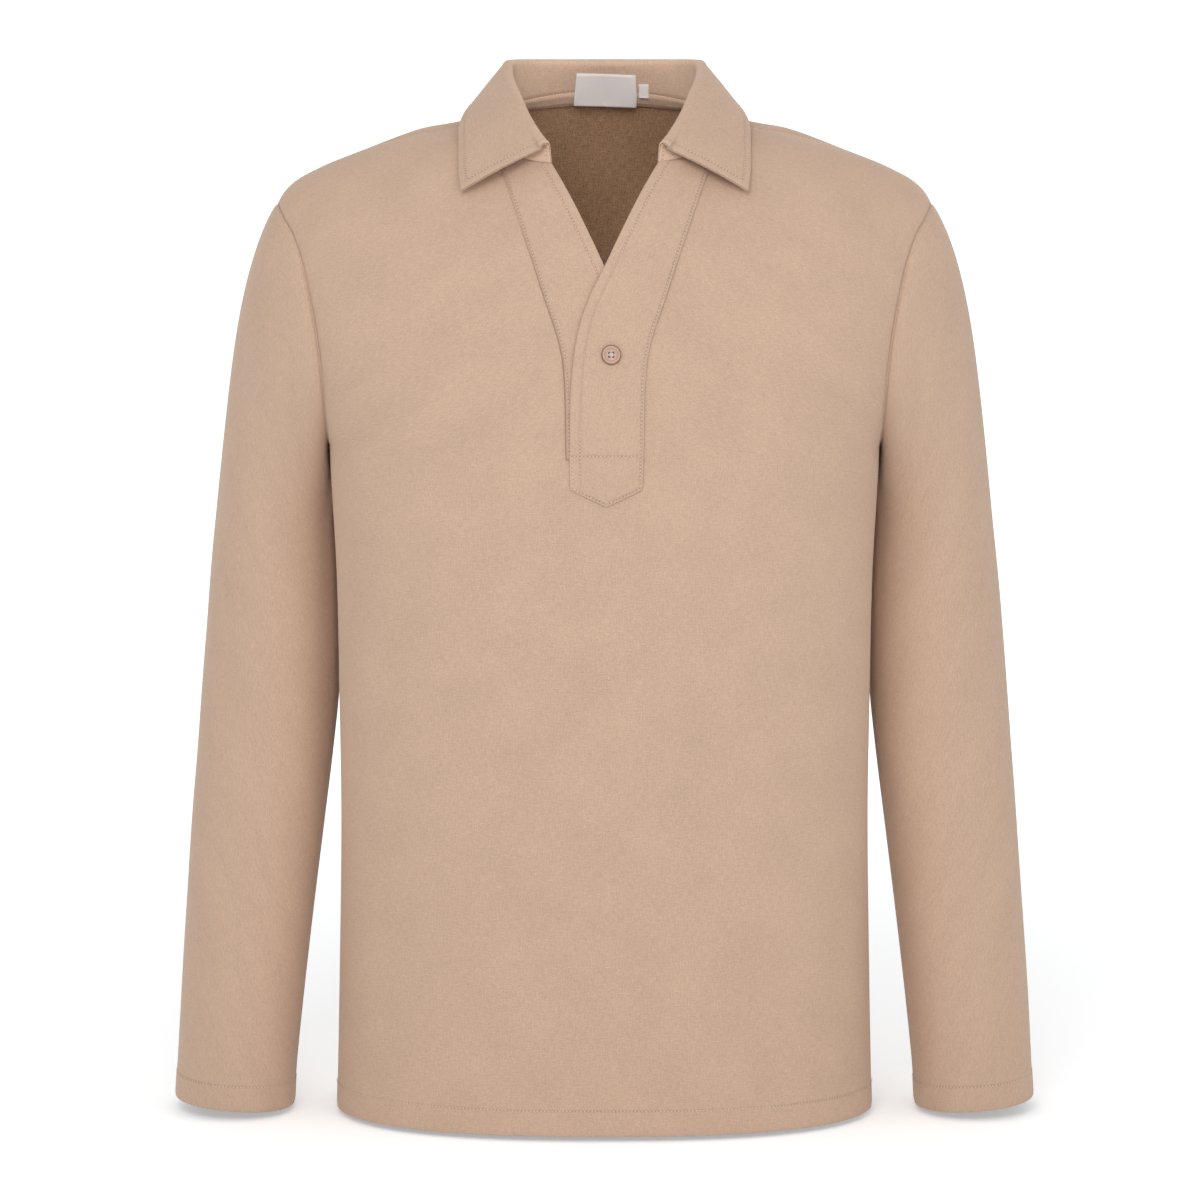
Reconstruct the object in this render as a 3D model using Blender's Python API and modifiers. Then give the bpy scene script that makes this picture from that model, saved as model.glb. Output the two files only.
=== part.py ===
"""A long-sleeved popover shirt, filled out as if worn, with nobody in it.

Metres, +Z up, the front towards -Y, and the wearer's left at +X. The origin lies between the
shoulder seams, where the shoulders carry the shirt. Every panel is a cloth wall on a smooth
surface. The body's surface is a set of rounded levels that close in a dome under the shoulder
seams, and what is sewn on the body is made from points of that surface, moved out.
"""

import math
from collections import namedtuple

import bmesh
import bpy
from mathutils import Vector

# Cloth and seams
CLOTH = 0.0012  # wall of the body, sleeves and placket
COLLAR_PLY = 0.0009  # wall of each of the collar's two plies
SEAM_GAP = 0.0003  # between pieces that are sewn together
TAPE_WALL = 0.0010

# Body
HEM_Z = -0.737
UNDERARM_Z = -0.245
BODY_FULLNESS = 2.4  # 2 is an ellipse, more is boxier
DOME_FULLNESS = 2.2
CREST_RISE = 0.0055  # how far the back stands above the shoulder seam beside the neck
CREST_BACK = 0.022  # how far behind the seam that crest lies
CREST_FADES = (0.125, 0.185)  # across the shoulder
CREST_STARTS = (-0.16, -0.06)  # and up the back

BodyLevel = namedtuple("BodyLevel", "z half_width front_depth back_depth side_y")
BODY_LEVELS = (
    BodyLevel(HEM_Z, 0.1992, 0.120, 0.117, 0.000),
    BodyLevel(-0.640, 0.1968, 0.117, 0.112, -0.002),
    BodyLevel(-0.520, 0.1946, 0.117, 0.109, -0.005),
    BodyLevel(-0.430, 0.1953, 0.120, 0.112, -0.007),
    BodyLevel(-0.340, 0.1966, 0.123, 0.118, -0.008),
    BodyLevel(UNDERARM_Z, 0.2010, 0.125, 0.123, -0.008),
    BodyLevel(-0.150, 0.2010, 0.125, 0.125, -0.004),
    BodyLevel(-0.070, 0.2010, 0.122, 0.122, 0.000),
    BodyLevel(0.050, 0.2010, 0.120, 0.120, 0.000),
)

# Height of the shoulder seam over its distance from the middle. Inside the neck it is the
# height at which the body's surface would close.
ShoulderPoint = namedtuple("ShoulderPoint", "x z")
SHOULDER = (
    ShoulderPoint(0.0000, 0.0405),
    ShoulderPoint(0.0400, 0.0190),
    ShoulderPoint(0.0750, -0.0070),
    ShoulderPoint(0.1040, -0.0155),
    ShoulderPoint(0.1350, -0.0210),
    ShoulderPoint(0.1680, -0.0298),
    ShoulderPoint(0.1980, -0.0409),
    ShoulderPoint(0.2105, -0.0467),
    ShoulderPoint(0.2222, -0.0530),
    ShoulderPoint(0.2312, -0.0605),
    ShoulderPoint(0.2378, -0.0700),
)
SHOULDER_TIP = SHOULDER[-1]
SHOULDER_SEAM_BACK = 0.0006  # each side of the seam, so that the walls' inner edges clear

# Armhole: an oval from the side, and its distance from the middle from the front and back
ARMHOLE_HALF_DEPTH = 0.062
ARMHOLE_FULLNESS = 2.2
ArmholePoint = namedtuple("ArmholePoint", "z front_x back_x")
ARMHOLE = (
    ArmholePoint(UNDERARM_Z, 0.2010, 0.2010),
    ArmholePoint(-0.1985, 0.2030, 0.2060),
    ArmholePoint(-0.1600, 0.2069, 0.2130),
    ArmholePoint(-0.1146, 0.2159, 0.2230),
    ArmholePoint(-0.0908, 0.2245, 0.2300),
    ArmholePoint(-0.0807, 0.2312, 0.2345),
    ArmholePoint(SHOULDER_TIP.z, 0.2378, 0.2378),
)

# Sleeve levels below the cap. The sleeve hangs just behind the body's widest line.
SLEEVE_FULLNESS = 2.2
CAP_LEAVES = Vector((0.62, 0, -0.84))  # the way the sleeve leaves the armhole's seam
CAP_FORWARD = 0.3  # more to the front or the back there
CAP_UNDERARM = Vector((-0.44, 0.35, 0))  # and turned this much under the arm
CAP_ARRIVES = Vector((0.10, 0, -0.99))  # the way it runs at the end of the cap
CAP_EASE = 0.62
CUFF_Z = -0.7335
CUFF_TILT = 0.08  # how much higher the cuff is towards the outside, for its width
CUFF_TILT_FROM = -0.612
SleeveLevel = namedtuple("SleeveLevel", "z inner_x outer_x centre_y half_depth")
SLEEVE_LEVELS = (
    SleeveLevel(-0.300, 0.1975, 0.2862, 0.032, 0.066),
    SleeveLevel(-0.342, 0.1958, 0.2908, 0.033, 0.063),
    SleeveLevel(-0.387, 0.1950, 0.2948, 0.033, 0.060),
    SleeveLevel(-0.432, 0.1967, 0.2985, 0.029, 0.058),
    SleeveLevel(-0.477, 0.2013, 0.3018, 0.023, 0.056),
    SleeveLevel(-0.522, 0.2069, 0.3052, 0.017, 0.055),
    SleeveLevel(-0.612, 0.2180, 0.3113, 0.005, 0.053),
    SleeveLevel(-0.702, 0.2282, 0.3164, -0.004, 0.051),
    SleeveLevel(CUFF_Z, 0.2302, 0.3184, -0.006, 0.049),
)

# Neckline
NECK_SIDE_X = 0.075  # where the shoulder seam meets the collar
NECK_BACK_Z = 0.0061
V_CORNER_Z = -0.0375  # where the collar ends at the front
NeckPoint = namedtuple("NeckPoint", "along x z")
NECK_FRONT = (
    NeckPoint(0.50, NECK_SIDE_X, -0.0070),
    NeckPoint(0.56, 0.0755, -0.0083),
    NeckPoint(0.67, 0.0745, -0.0150),
    NeckPoint(0.79, 0.0675, -0.0275),
    NeckPoint(0.90, 0.0550, -0.0352),
    NeckPoint(1.00, 0.0380, V_CORNER_Z),
)

# Placket: the seams of the two bands, and the folded edge of each
BandPoint = namedtuple("BandPoint", "z seam_x edge_x")
BANDS = (
    BandPoint(-0.2665, 0.0268, -0.0246),
    BandPoint(-0.2420, 0.0275, -0.0248),
    BandPoint(-0.2000, 0.0283, -0.0241),
    BandPoint(-0.1750, 0.0300, -0.0220),
    BandPoint(-0.1557, 0.0345, -0.0188),
    BandPoint(-0.1351, 0.0418, -0.0124),
    BandPoint(-0.1089, 0.0505, 0.0002),
    BandPoint(-0.0904, 0.0570, 0.0090),
    BandPoint(-0.0615, 0.0672, 0.0237),
    BandPoint(V_CORNER_Z, 0.0765, 0.0380),
    BandPoint(-0.0120, 0.0885, 0.0550),
)
SLOT_BOTTOM_Z = UNDERARM_Z
SEAM_LINE_SLOPE = 0.03  # of the grid line that goes on below the slot
TAB_POINT = (0.0012, -0.2785)  # the placket's pointed end, x and z
TAB_RISE = 0.0125
SLOT_HIDDEN = 0.0025  # how far the over band covers the front's cut edge
OVER_BAND_LIFT = CLOTH + 1.5 * SEAM_GAP  # its outer side, off the front's
UNDER_BAND_HIDDEN_EDGE = 0.0220  # how far the under band reaches under the over band

# Collar, from the middle of the back to the front end: its fold and its outer edge
FOLD_RADIUS = 0.0030
FALL_BOW = 0.020  # how far the fall bows up, for its length
COLLAR_FOOT_GAP = 0.0020
COLLAR_PLIES_APART = COLLAR_PLY / 2 + SEAM_GAP  # each off the middle between them
CollarPoint = namedtuple("CollarPoint", "along fold edge")
COLLAR = (
    CollarPoint(0.00, (0.0000, 0.0560, 0.0305), (0.0000, 0.0850, -0.0140)),
    CollarPoint(0.25, (0.0490, 0.0430, 0.0310), (0.0650, 0.0690, -0.0120)),
    CollarPoint(0.40, (0.0668, 0.0250, 0.0312), (0.0930, 0.0410, -0.0075)),
    CollarPoint(0.48, (0.0700, 0.0110, 0.0302), (0.0985, 0.0210, -0.0050)),
    CollarPoint(0.56, (0.0690, -0.0080, 0.0225), (0.1015, -0.0020, -0.0060)),
    CollarPoint(0.67, (0.0625, -0.0340, 0.0100), (0.1045, -0.0260, -0.0145)),
    CollarPoint(0.79, (0.0560, -0.0550, -0.0030), (0.1045, -0.0480, -0.0290)),
    CollarPoint(0.90, (0.0490, -0.0720, -0.0145), (0.1040, -0.0660, -0.0435)),
    CollarPoint(1.00, (0.0430, -0.0870, -0.0240), (0.1020, -0.0820, -0.0575)),
)

# What is sewn inside the back neck
TAPE_DROPS = (0.0004, 0.0030, 0.0060, 0.0090, 0.0120)  # down the back from its top edge
Patch = namedtuple("Patch", "left_x right_x top_z low_z")
NECK_LABEL = Patch(-0.0232, 0.0247, 0.0210, -0.0032)
SIZE_TAB = Patch(0.0262, 0.0337, 0.0137, 0.0042)
LABEL_COLUMN = 0.008

# Button
BUTTON_AT = (0.0046, -0.171)  # x and z
BUTTON_RADIUS = 0.0070
BUTTON_HEIGHT = 0.0028
BUTTON_HOLE_RADIUS = 0.0008
BUTTON_HOLE_SPREAD = 0.0020
# The turned section from the face's middle to the back's, as shares of radius and height
BUTTON_SECTION = (
    (0.00, 0.66),
    (0.62, 0.66),
    (0.74, 0.96),
    (0.88, 1.00),
    (1.00, 0.70),
    (0.96, 0.30),
    (0.70, 0.00),
    (0.00, 0.00),
)
BUTTON_STEPS = 28

# How finely the surfaces are cut into faces
COLLAR_STATIONS = (
    0.00, 0.09, 0.18, 0.27, 0.36, 0.43, 0.50, 0.57, 0.64, 0.71, 0.78, 0.84, 0.90, 0.95, 1.00,
)
NECK_STATIONS = (0.00, 0.09, 0.18, 0.27, 0.36)  # those that the back's columns share
SIDE_COLUMNS = 11  # from the placket to the side seam
SPREAD_FROM = 0.14  # of a quarter turn, where those columns start
LOWER_ROWS = 11  # from the hem to the underarm
UPPER_ROWS = 13  # from the underarm to the shoulder
BAND_COLUMNS = 5
CAP_ROWS = 7
SLEEVE_ROWS = 9
STAND_STEPS = 3
FOLD_STEPS = 4
FALL_STEPS = 4
SETTLING_STEPS = 6  # to find where a slanting line meets the shoulder seam

FRONT, BACK = -1, 1

Finish = namedtuple("Finish", "name colour roughness")
SHELL = Finish("shell_fabric", (0.62, 0.45, 0.34), 0.90)
LABEL = Finish("label_satin", (0.74, 0.66, 0.63), 0.55)
HORN = Finish("button", (0.50, 0.33, 0.26), 0.40)


def smooth(pairs, at):
    """The value at a place on a smooth curve through (place, value) pairs, in rising order."""
    places = [p[0] for p in pairs]
    values = [p[1] for p in pairs]
    at = min(max(at, places[0]), places[-1])
    i = max(k for k in range(len(places) - 1) if places[k] <= at)

    def slope(k):
        low, high = max(k - 1, 0), min(k + 1, len(places) - 1)
        return (values[high] - values[low]) / (places[high] - places[low])

    span = places[i + 1] - places[i]
    t = (at - places[i]) / span
    return (
        (1 + 2 * t) * (1 - t) ** 2 * values[i]
        + t * (1 - t) ** 2 * span * slope(i)
        + t * t * (3 - 2 * t) * values[i + 1]
        + t * t * (t - 1) * span * slope(i + 1)
    )


def column(table, place, value, at):
    """One named column of a table, read at a place in another."""
    return smooth([(getattr(row, place), getattr(row, value)) for row in table], at)


def fade(low, high, at):
    """0 below low, 1 above high, and a soft step between them."""
    t = min(max((at - low) / (high - low), 0), 1)
    return t * t * (3 - 2 * t)


def rounded(share, fullness):
    """How far a rounded outline stands out at this share of its half width."""
    return max(1 - min(abs(share), 1) ** fullness, 0) ** (1 / fullness)


def shoulder_z(x):
    return column(SHOULDER, "x", "z", abs(x))


def dome(x, z):
    """1 up to the underarm, then closing to 0 at the shoulder seam."""
    share = (z - UNDERARM_Z) / (shoulder_z(x) - UNDERARM_Z)
    return rounded(max(share, 0), DOME_FULLNESS)


def armhole_x(z, face):
    return column(ARMHOLE, "z", "front_x" if face == FRONT else "back_x", z)


def armhole_depth(z):
    """How far the armhole's oval reaches forwards and back at this height."""
    middle = (UNDERARM_Z + SHOULDER_TIP.z) / 2
    return ARMHOLE_HALF_DEPTH * rounded((z - middle) / (middle - UNDERARM_Z), ARMHOLE_FULLNESS)


def body_depth(z, face):
    return column(BODY_LEVELS, "z", "front_depth" if face == FRONT else "back_depth", z)


def body_half_width(z, face):
    """The level's own half width, or above the underarm the one that meets the armhole."""
    if z <= UNDERARM_Z:
        return column(BODY_LEVELS, "z", "half_width", z)
    z = min(z, SHOULDER_TIP.z - 0.002)
    edge = armhole_x(z, face)
    share = armhole_depth(z) / (body_depth(z, face) * dome(edge, z))
    return edge / rounded(share, BODY_FULLNESS)


def side_y(z):
    return column(BODY_LEVELS, "z", "side_y", z)


def body_point(x, z, face):
    """A point of the body's outer surface, front or back."""
    across = rounded(x / body_half_width(z, face), BODY_FULLNESS)
    reach = body_depth(z, face) * across * dome(x, z)
    if face == BACK:
        rise = CREST_RISE * (1 - fade(*CREST_FADES, abs(x))) * fade(*CREST_STARTS, z)
        z_out = z + rise * reach / CREST_BACK * math.exp(1 - reach / CREST_BACK)
        return Vector((x, side_y(z) + reach, z_out))
    return Vector((x, side_y(z) - reach, z))


def body_normal(x, z, face):
    """The way out of the cloth at that point."""
    step = 0.0005
    along_x = body_point(x + step, z, face) - body_point(x - step, z, face)
    along_z = body_point(x, z + step, face) - body_point(x, z - step, face)
    return along_x.cross(along_z).normalized() * (1 if face == FRONT else -1)


def off_body(x, z, face, out):
    """A point moved out of the body's surface, or into it where out is negative."""
    return body_point(x, z, face) + body_normal(x, z, face) * out


def armhole_angle_z(angle):
    """Height round the armhole: 0 is the shoulder, and half a turn is the underarm."""
    middle = (UNDERARM_Z + SHOULDER_TIP.z) / 2
    half = (SHOULDER_TIP.z - UNDERARM_Z) / 2
    c = math.cos(angle)
    return middle + half * math.copysign(abs(c) ** (2 / ARMHOLE_FULLNESS), c)


def armhole_point(angle):
    """A point of the left armhole's seam. The front is the first half turn."""
    face = FRONT if math.sin(angle) >= 0 else BACK
    z = armhole_angle_z(angle)
    return body_point(armhole_x(z, face), z, face)


def spread(count):
    """Shares from the middle to the side, closer together where the body turns the corner."""
    reached = [
        math.sin(math.pi / 2 * (SPREAD_FROM + (1 - SPREAD_FROM) * i / count))
        ** (2 / BODY_FULLNESS)
        for i in range(count + 1)
    ]
    return [(r - reached[0]) / (reached[-1] - reached[0]) for r in reached]


def upper_rows():
    """Shares of the height from the underarm to the top, from 0 to 1, as the armhole runs."""
    heights = [armhole_angle_z(math.pi * (1 - i / UPPER_ROWS)) for i in range(UPPER_ROWS + 1)]
    return [(z - UNDERARM_Z) / (SHOULDER_TIP.z - UNDERARM_Z) for z in heights]


def lower_rows():
    return [HEM_Z + (UNDERARM_Z - HEM_Z) * i / LOWER_ROWS for i in range(LOWER_ROWS)]


def panel_columns(face, inner_at, side):
    """The points of half a body panel, a list for each column from hem to shoulder seam.

    inner_at gives the inner column's distance from the middle at a height, and side is -1 for
    the wearer's right or 1 for the left.
    """
    columns = []
    top_inner = inner_at(SHOULDER_TIP.z)
    for _ in range(SETTLING_STEPS):
        top_inner = inner_at(shoulder_z(top_inner))
    for share in spread(SIDE_COLUMNS):
        points = []
        for z in lower_rows():
            edge = body_half_width(z, face)
            x = inner_at(z) + (edge - inner_at(z)) * share
            points.append(body_point(side * x, z, face))
        top_z = shoulder_z(top_inner + (SHOULDER_TIP.x - top_inner) * share)
        for risen in upper_rows():
            edge = armhole_x(UNDERARM_Z + (SHOULDER_TIP.z - UNDERARM_Z) * risen, face)
            inner = inner_at(UNDERARM_Z + (shoulder_z(top_inner) - UNDERARM_Z) * risen)
            z = UNDERARM_Z + (top_z - UNDERARM_Z) * risen
            points.append(body_point(side * (inner + (edge - inner) * share), z, face))
        for row, point in enumerate(points):
            at_side = share == 1
            if at_side and row > LOWER_ROWS:
                point.x -= side * SEAM_GAP / 2
            if row == len(points) - 1:
                point.y += face * SHOULDER_SEAM_BACK
            elif at_side and row <= LOWER_ROWS:
                point.y += face * SEAM_GAP / 2
        columns.append(points)
    return columns


def placket_seam_x(z):
    """The placket's seam, which widens a little towards the hem as a grid line."""
    if z < SLOT_BOTTOM_Z:
        return column(BANDS, "z", "seam_x", SLOT_BOTTOM_Z) + SEAM_LINE_SLOPE * (SLOT_BOTTOM_Z - z)
    return column(BANDS, "z", "seam_x", z)


def material_of(finish):
    material = bpy.data.materials.get(finish.name) or bpy.data.materials.new(finish.name)
    material.use_nodes = True
    shader = material.node_tree.nodes["Principled BSDF"]
    shader.inputs["Base Color"].default_value = (*finish.colour, 1)
    shader.inputs["Roughness"].default_value = finish.roughness
    shader.inputs["Metallic"].default_value = 0
    return material


def add_object(name, mesh, finish, collection):
    piece = bpy.data.objects.new(name, mesh)
    collection.objects.link(piece)
    mesh.materials.append(material_of(finish))
    mesh.shade_smooth()
    mesh.set_sharp_from_angle(angle=math.radians(50))
    return piece


def loft(lines, flip=False, closed=False, leave_out=None):
    """A mesh of four-sided faces between neighbouring lines of points."""
    shaper = bmesh.new()
    grid = [[shaper.verts.new(p) for p in line] for line in lines]
    count = len(grid[0])
    for i in range(len(grid) - (0 if closed else 1)):
        for j in range(count - 1):
            if leave_out and leave_out(i, j):
                continue
            following = grid[(i + 1) % len(grid)]
            corners = [grid[i][j], following[j], following[j + 1], grid[i][j + 1]]
            shaper.faces.new(corners[::-1] if flip else corners)
    bmesh.ops.delete(
        shaper, geom=[v for v in shaper.verts if not v.link_faces], context="VERTS"
    )
    mesh = bpy.data.meshes.new("cloth")
    shaper.to_mesh(mesh)
    shaper.free()
    return mesh


def make_wall(piece, thickness, offset=-1):
    """Gives an open surface its thickness, inwards unless offset says otherwise."""
    wall = piece.modifiers.new("Wall", "SOLIDIFY")
    wall.thickness = thickness
    wall.offset = offset
    wall.use_even_offset = True
    wall.use_quality_normals = True


def moved_out(lines, distance, mirrored=False):
    """Lines of points moved off the surface they lie on, to the right hand of the lines' run.

    mirrored says that the first line lies on the middle plane.
    """
    moved = []
    for i, line in enumerate(lines):
        before, after = lines[max(i - 1, 0)], lines[min(i + 1, len(lines) - 1)]
        out = []
        for j, point in enumerate(line):
            across = after[j] - before[j]
            if i == 0 and mirrored:
                across = Vector((1, 0, 0))
            down = line[min(j + 1, len(line) - 1)] - line[max(j - 1, 0)]
            out.append(point + across.cross(down).normalized() * distance)
        moved.append(out)
    return moved


def add_mirror(piece):
    mirror = piece.modifiers.new("Both halves", "MIRROR")
    mirror.merge_threshold = 0.0001


def make_front(collection):
    """The front, one piece across, with a V cut down to the placket's end."""
    right = panel_columns(FRONT, placket_seam_x, -1)
    left = panel_columns(FRONT, lambda z: placket_seam_x(z) - SLOT_HIDDEN, 1)
    middle = [
        body_point((a.x + b.x) / 2, a.z, FRONT)
        for a, b in zip(right[0][: LOWER_ROWS + 1], left[0])
    ]
    middle += middle[-1:] * UPPER_ROWS
    lines = right[::-1] + [middle] + left
    slot = (SIDE_COLUMNS, SIDE_COLUMNS + 1)
    mesh = loft(lines, leave_out=lambda i, j: i in slot and j >= LOWER_ROWS)
    front = add_object("front", mesh, SHELL, collection)
    make_wall(front, CLOTH)


def neck_back_z(x):
    """The back neckline's height before the crest lifts it."""
    side = shoulder_z(NECK_SIDE_X)
    return side + (NECK_BACK_Z - side) * (1 - (min(abs(x), NECK_SIDE_X) / NECK_SIDE_X) ** 2)


def neck_x(along):
    return NECK_SIDE_X * math.sin(math.pi * along)


def back_neck_lines():
    """The back's columns that end at the neckline, from the middle to beside the neck."""
    lines = []
    for along in NECK_STATIONS:
        x = neck_x(along)
        top = neck_back_z(x)
        points = [body_point(x, z, BACK) for z in lower_rows()]
        for risen in upper_rows():
            points.append(body_point(x, UNDERARM_Z + (top - UNDERARM_Z) * risen, BACK))
        lines.append(points)
    return lines


def make_back(collection):
    """The back, a half that a mirror completes. Its inner columns end at the neckline."""
    outer = panel_columns(BACK, lambda z: NECK_SIDE_X, 1)
    mesh = loft(back_neck_lines() + outer, flip=True)
    back = add_object("back", mesh, SHELL, collection)
    add_mirror(back)
    make_wall(back, CLOTH)


def sleeve_section(level_z, angle, side):
    """A point round the sleeve below its cap."""
    inner = column(SLEEVE_LEVELS[::-1], "z", "inner_x", level_z)
    outer = column(SLEEVE_LEVELS[::-1], "z", "outer_x", level_z)
    centre_y = column(SLEEVE_LEVELS[::-1], "z", "centre_y", level_z)
    depth = column(SLEEVE_LEVELS[::-1], "z", "half_depth", level_z)
    c, s = math.cos(angle), math.sin(angle)
    reach_x = math.copysign(abs(c) ** (2 / SLEEVE_FULLNESS), c)
    reach_y = math.copysign(abs(s) ** (2 / SLEEVE_FULLNESS), s)
    off_middle = (outer - inner) / 2 * reach_x
    tilt = CUFF_TILT * (1 - fade(CUFF_Z, CUFF_TILT_FROM, level_z))
    x = (inner + outer) / 2 + off_middle
    return Vector((side * x, centre_y - depth * reach_y, level_z + tilt * off_middle))


def sleeve_cap(share, angle, side):
    """A point between the armhole's seam and the sleeve's first level."""
    seam = armhole_point(angle)
    level = sleeve_section(SLEEVE_LEVELS[0].z, angle, 1)
    low = (1 - math.cos(angle)) / 2
    leave = CAP_LEAVES + CAP_UNDERARM * low**3
    leave.y -= CAP_FORWARD * math.sin(angle)
    leave.normalize()
    seam += leave * SEAM_GAP
    reach = (level - seam).length
    t = share
    point = (
        (1 + 2 * t) * (1 - t) ** 2 * seam
        + t * (1 - t) ** 2 * leave * reach * CAP_EASE
        + t * t * (3 - 2 * t) * level
        + t * t * (t - 1) * CAP_ARRIVES * reach
    )
    return Vector((side * point.x, point.y, point.z))


def make_sleeve(name, side, collection):
    """A set-in sleeve, open at the armhole and at the cuff."""
    lines = []
    around = 2 * UPPER_ROWS
    last = SLEEVE_LEVELS[-1].z
    first = SLEEVE_LEVELS[0].z
    for i in range(around):
        angle = 2 * math.pi * i / around
        line = [sleeve_cap(row / CAP_ROWS, angle, side) for row in range(CAP_ROWS)]
        for row in range(SLEEVE_ROWS + 1):
            line.append(sleeve_section(first + (last - first) * row / SLEEVE_ROWS, angle, side))
        lines.append(line)
    mesh = loft(lines, closed=True, flip=side < 0)
    make_wall(add_object(name, mesh, SHELL, collection), CLOTH)


def band_x(z, share, hidden_edge):
    """A place across a band, from its folded edge at 0 to its seam at 1."""
    edge = max(column(BANDS, "z", "edge_x", z), -hidden_edge)
    return edge + (column(BANDS, "z", "seam_x", z) - edge) * share


def neck_front(along):
    """x and z of the front neckline."""
    x = column(NECK_FRONT, "along", "x", along)
    return x, min(column(NECK_FRONT, "along", "z", along), shoulder_z(x))


def band_seam_top():
    """Where the placket's seam meets the shoulder seam."""
    x = NECK_SIDE_X
    for _ in range(SETTLING_STEPS):
        x = placket_seam_x(shoulder_z(x))
    return x


def band_lines(side, hidden_edge, seam_gap, below):
    """A band's points on the body's surface, in the front's own rows.

    The inner side is the folded edge up to the V's corner, then the neckline. below gives the
    heights under the slot's end for a share, from the lowest up.
    """
    top_x = band_seam_top()
    rows = [UNDERARM_Z + (shoulder_z(top_x) - UNDERARM_Z) * risen for risen in upper_rows()]
    rows = sorted(rows[:-1] + [V_CORNER_Z, NECK_FRONT[-2].z])
    lines = []
    for index in range(BAND_COLUMNS + 1):
        share = index / BAND_COLUMNS
        line = []
        for z in below(share):
            x = band_x(max(z, BANDS[0].z), share, hidden_edge)
            line.append(body_point(side * x, z, FRONT))
        for z in rows:
            inner = band_x(z, 0, hidden_edge)
            if z > V_CORNER_Z:
                inner = column(NECK_FRONT[::-1], "z", "x", z)
            x = inner + (band_x(z, 1, hidden_edge) - seam_gap - inner) * share
            line.append(body_point(side * x, z, FRONT))
        x = NECK_SIDE_X + (top_x - seam_gap - NECK_SIDE_X) * share
        line.append(body_point(side * x, shoulder_z(x), FRONT))
        line[-1].y -= SHOULDER_SEAM_BACK
        lines.append(line)
    return lines


def make_placket(collection):
    """Two bands. The under band fills the front's slot, and the over band lies on both."""

    def tab_rows(share):
        half = (BANDS[0].seam_x - BANDS[0].edge_x) / 2
        x = BANDS[0].edge_x + 2 * half * share
        low = TAB_POINT[1] + TAB_RISE * abs(x - TAB_POINT[0]) / half
        return (low, low + (SLOT_BOTTOM_Z - low) / 2)

    under = band_lines(-1, UNDER_BAND_HIDDEN_EDGE, 1.5 * SEAM_GAP, lambda share: ())
    over = band_lines(1, 1, 0, tab_rows)
    for line in under:
        line[0].z += 2 * SEAM_GAP
    over = moved_out(over, OVER_BAND_LIFT)
    mesh = loft(under, flip=True)
    make_wall(add_object("placket_under", mesh, SHELL, collection), CLOTH)
    make_wall(add_object("placket_over", loft(over), SHELL, collection), CLOTH)


def neck_seam(along):
    """A point of the neckline, from 0 at the middle of the back to 1 at the front end."""
    if along <= 0.5:
        x = NECK_SIDE_X * math.sin(math.pi * along)
        return body_point(x, neck_back_z(x), BACK)
    return body_point(*neck_front(along), FRONT)


def collar_at(along, field):
    """A point of the collar's fold or outer edge."""
    return Vector(
        [smooth([(p.along, getattr(p, field)[k]) for p in COLLAR], along) for k in range(3)]
    )


def collar_line(along):
    """The middle of the collar's section: up the stand, over the fold and down the fall."""
    seam = neck_seam(along)
    fold = collar_at(along, "fold")
    edge = collar_at(along, "edge")
    foot = seam + (fold - seam).normalized() * COLLAR_FOOT_GAP
    before, after = max(along - 0.02, 0), min(along + 0.02, 1)
    run_of_fold = (collar_at(after, "fold") - collar_at(before, "fold")).normalized()
    if along == 0:
        run_of_fold = Vector((1, 0, 0))
    up = fold - seam
    up -= run_of_fold * up.dot(run_of_fold)
    up.normalize()
    outward = edge - fold
    outward -= run_of_fold * outward.dot(run_of_fold)
    outward -= up * outward.dot(up)
    outward.normalize()
    centre = fold - up * FOLD_RADIUS
    top = centre - outward * FOLD_RADIUS
    line = []
    for i in range(STAND_STEPS):
        line.append(foot + (top - foot) * i / STAND_STEPS)
    for i in range(FOLD_STEPS + 1):
        turn = math.pi * i / FOLD_STEPS
        line.append(centre + FOLD_RADIUS * (up * math.sin(turn) - outward * math.cos(turn)))
    start = line[-1]
    run = edge - start
    lift = (up - run.normalized() * up.dot(run.normalized())).normalized()
    for i in range(1, FALL_STEPS + 1):
        share = i / FALL_STEPS
        bow = FALL_BOW * run.length * math.sin(math.pi * share)
        line.append(start + run * share + lift * bow)
    return line


def collar_lines():
    lines = [collar_line(along) for along in COLLAR_STATIONS]
    for point in lines[0]:
        point.x = 0
    return lines


def make_collar(collection):
    """Two plies sewn round their edge: the under collar, and the upper one that shows."""
    for name, out in (("under_collar", -COLLAR_PLIES_APART), ("upper_collar", COLLAR_PLIES_APART)):
        lines = moved_out(collar_lines(), out, mirrored=True)
        ply = add_object(name, loft(lines, flip=True), SHELL, collection)
        add_mirror(ply)
        make_wall(ply, COLLAR_PLY, 0)


def along_line(points, distance):
    """The point this far along a line of points."""
    for a, b in zip(points, points[1:]):
        step = (b - a).length
        if distance <= step:
            return a.lerp(b, distance / step)
        distance -= step
    return points[-1].copy()


def tape_lines(out):
    """The back's top strip, moved in by this much."""
    lines = [[along_line(line[::-1], drop) for drop in TAPE_DROPS] for line in back_neck_lines()]
    return moved_out(lines, -out, mirrored=True)


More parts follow.
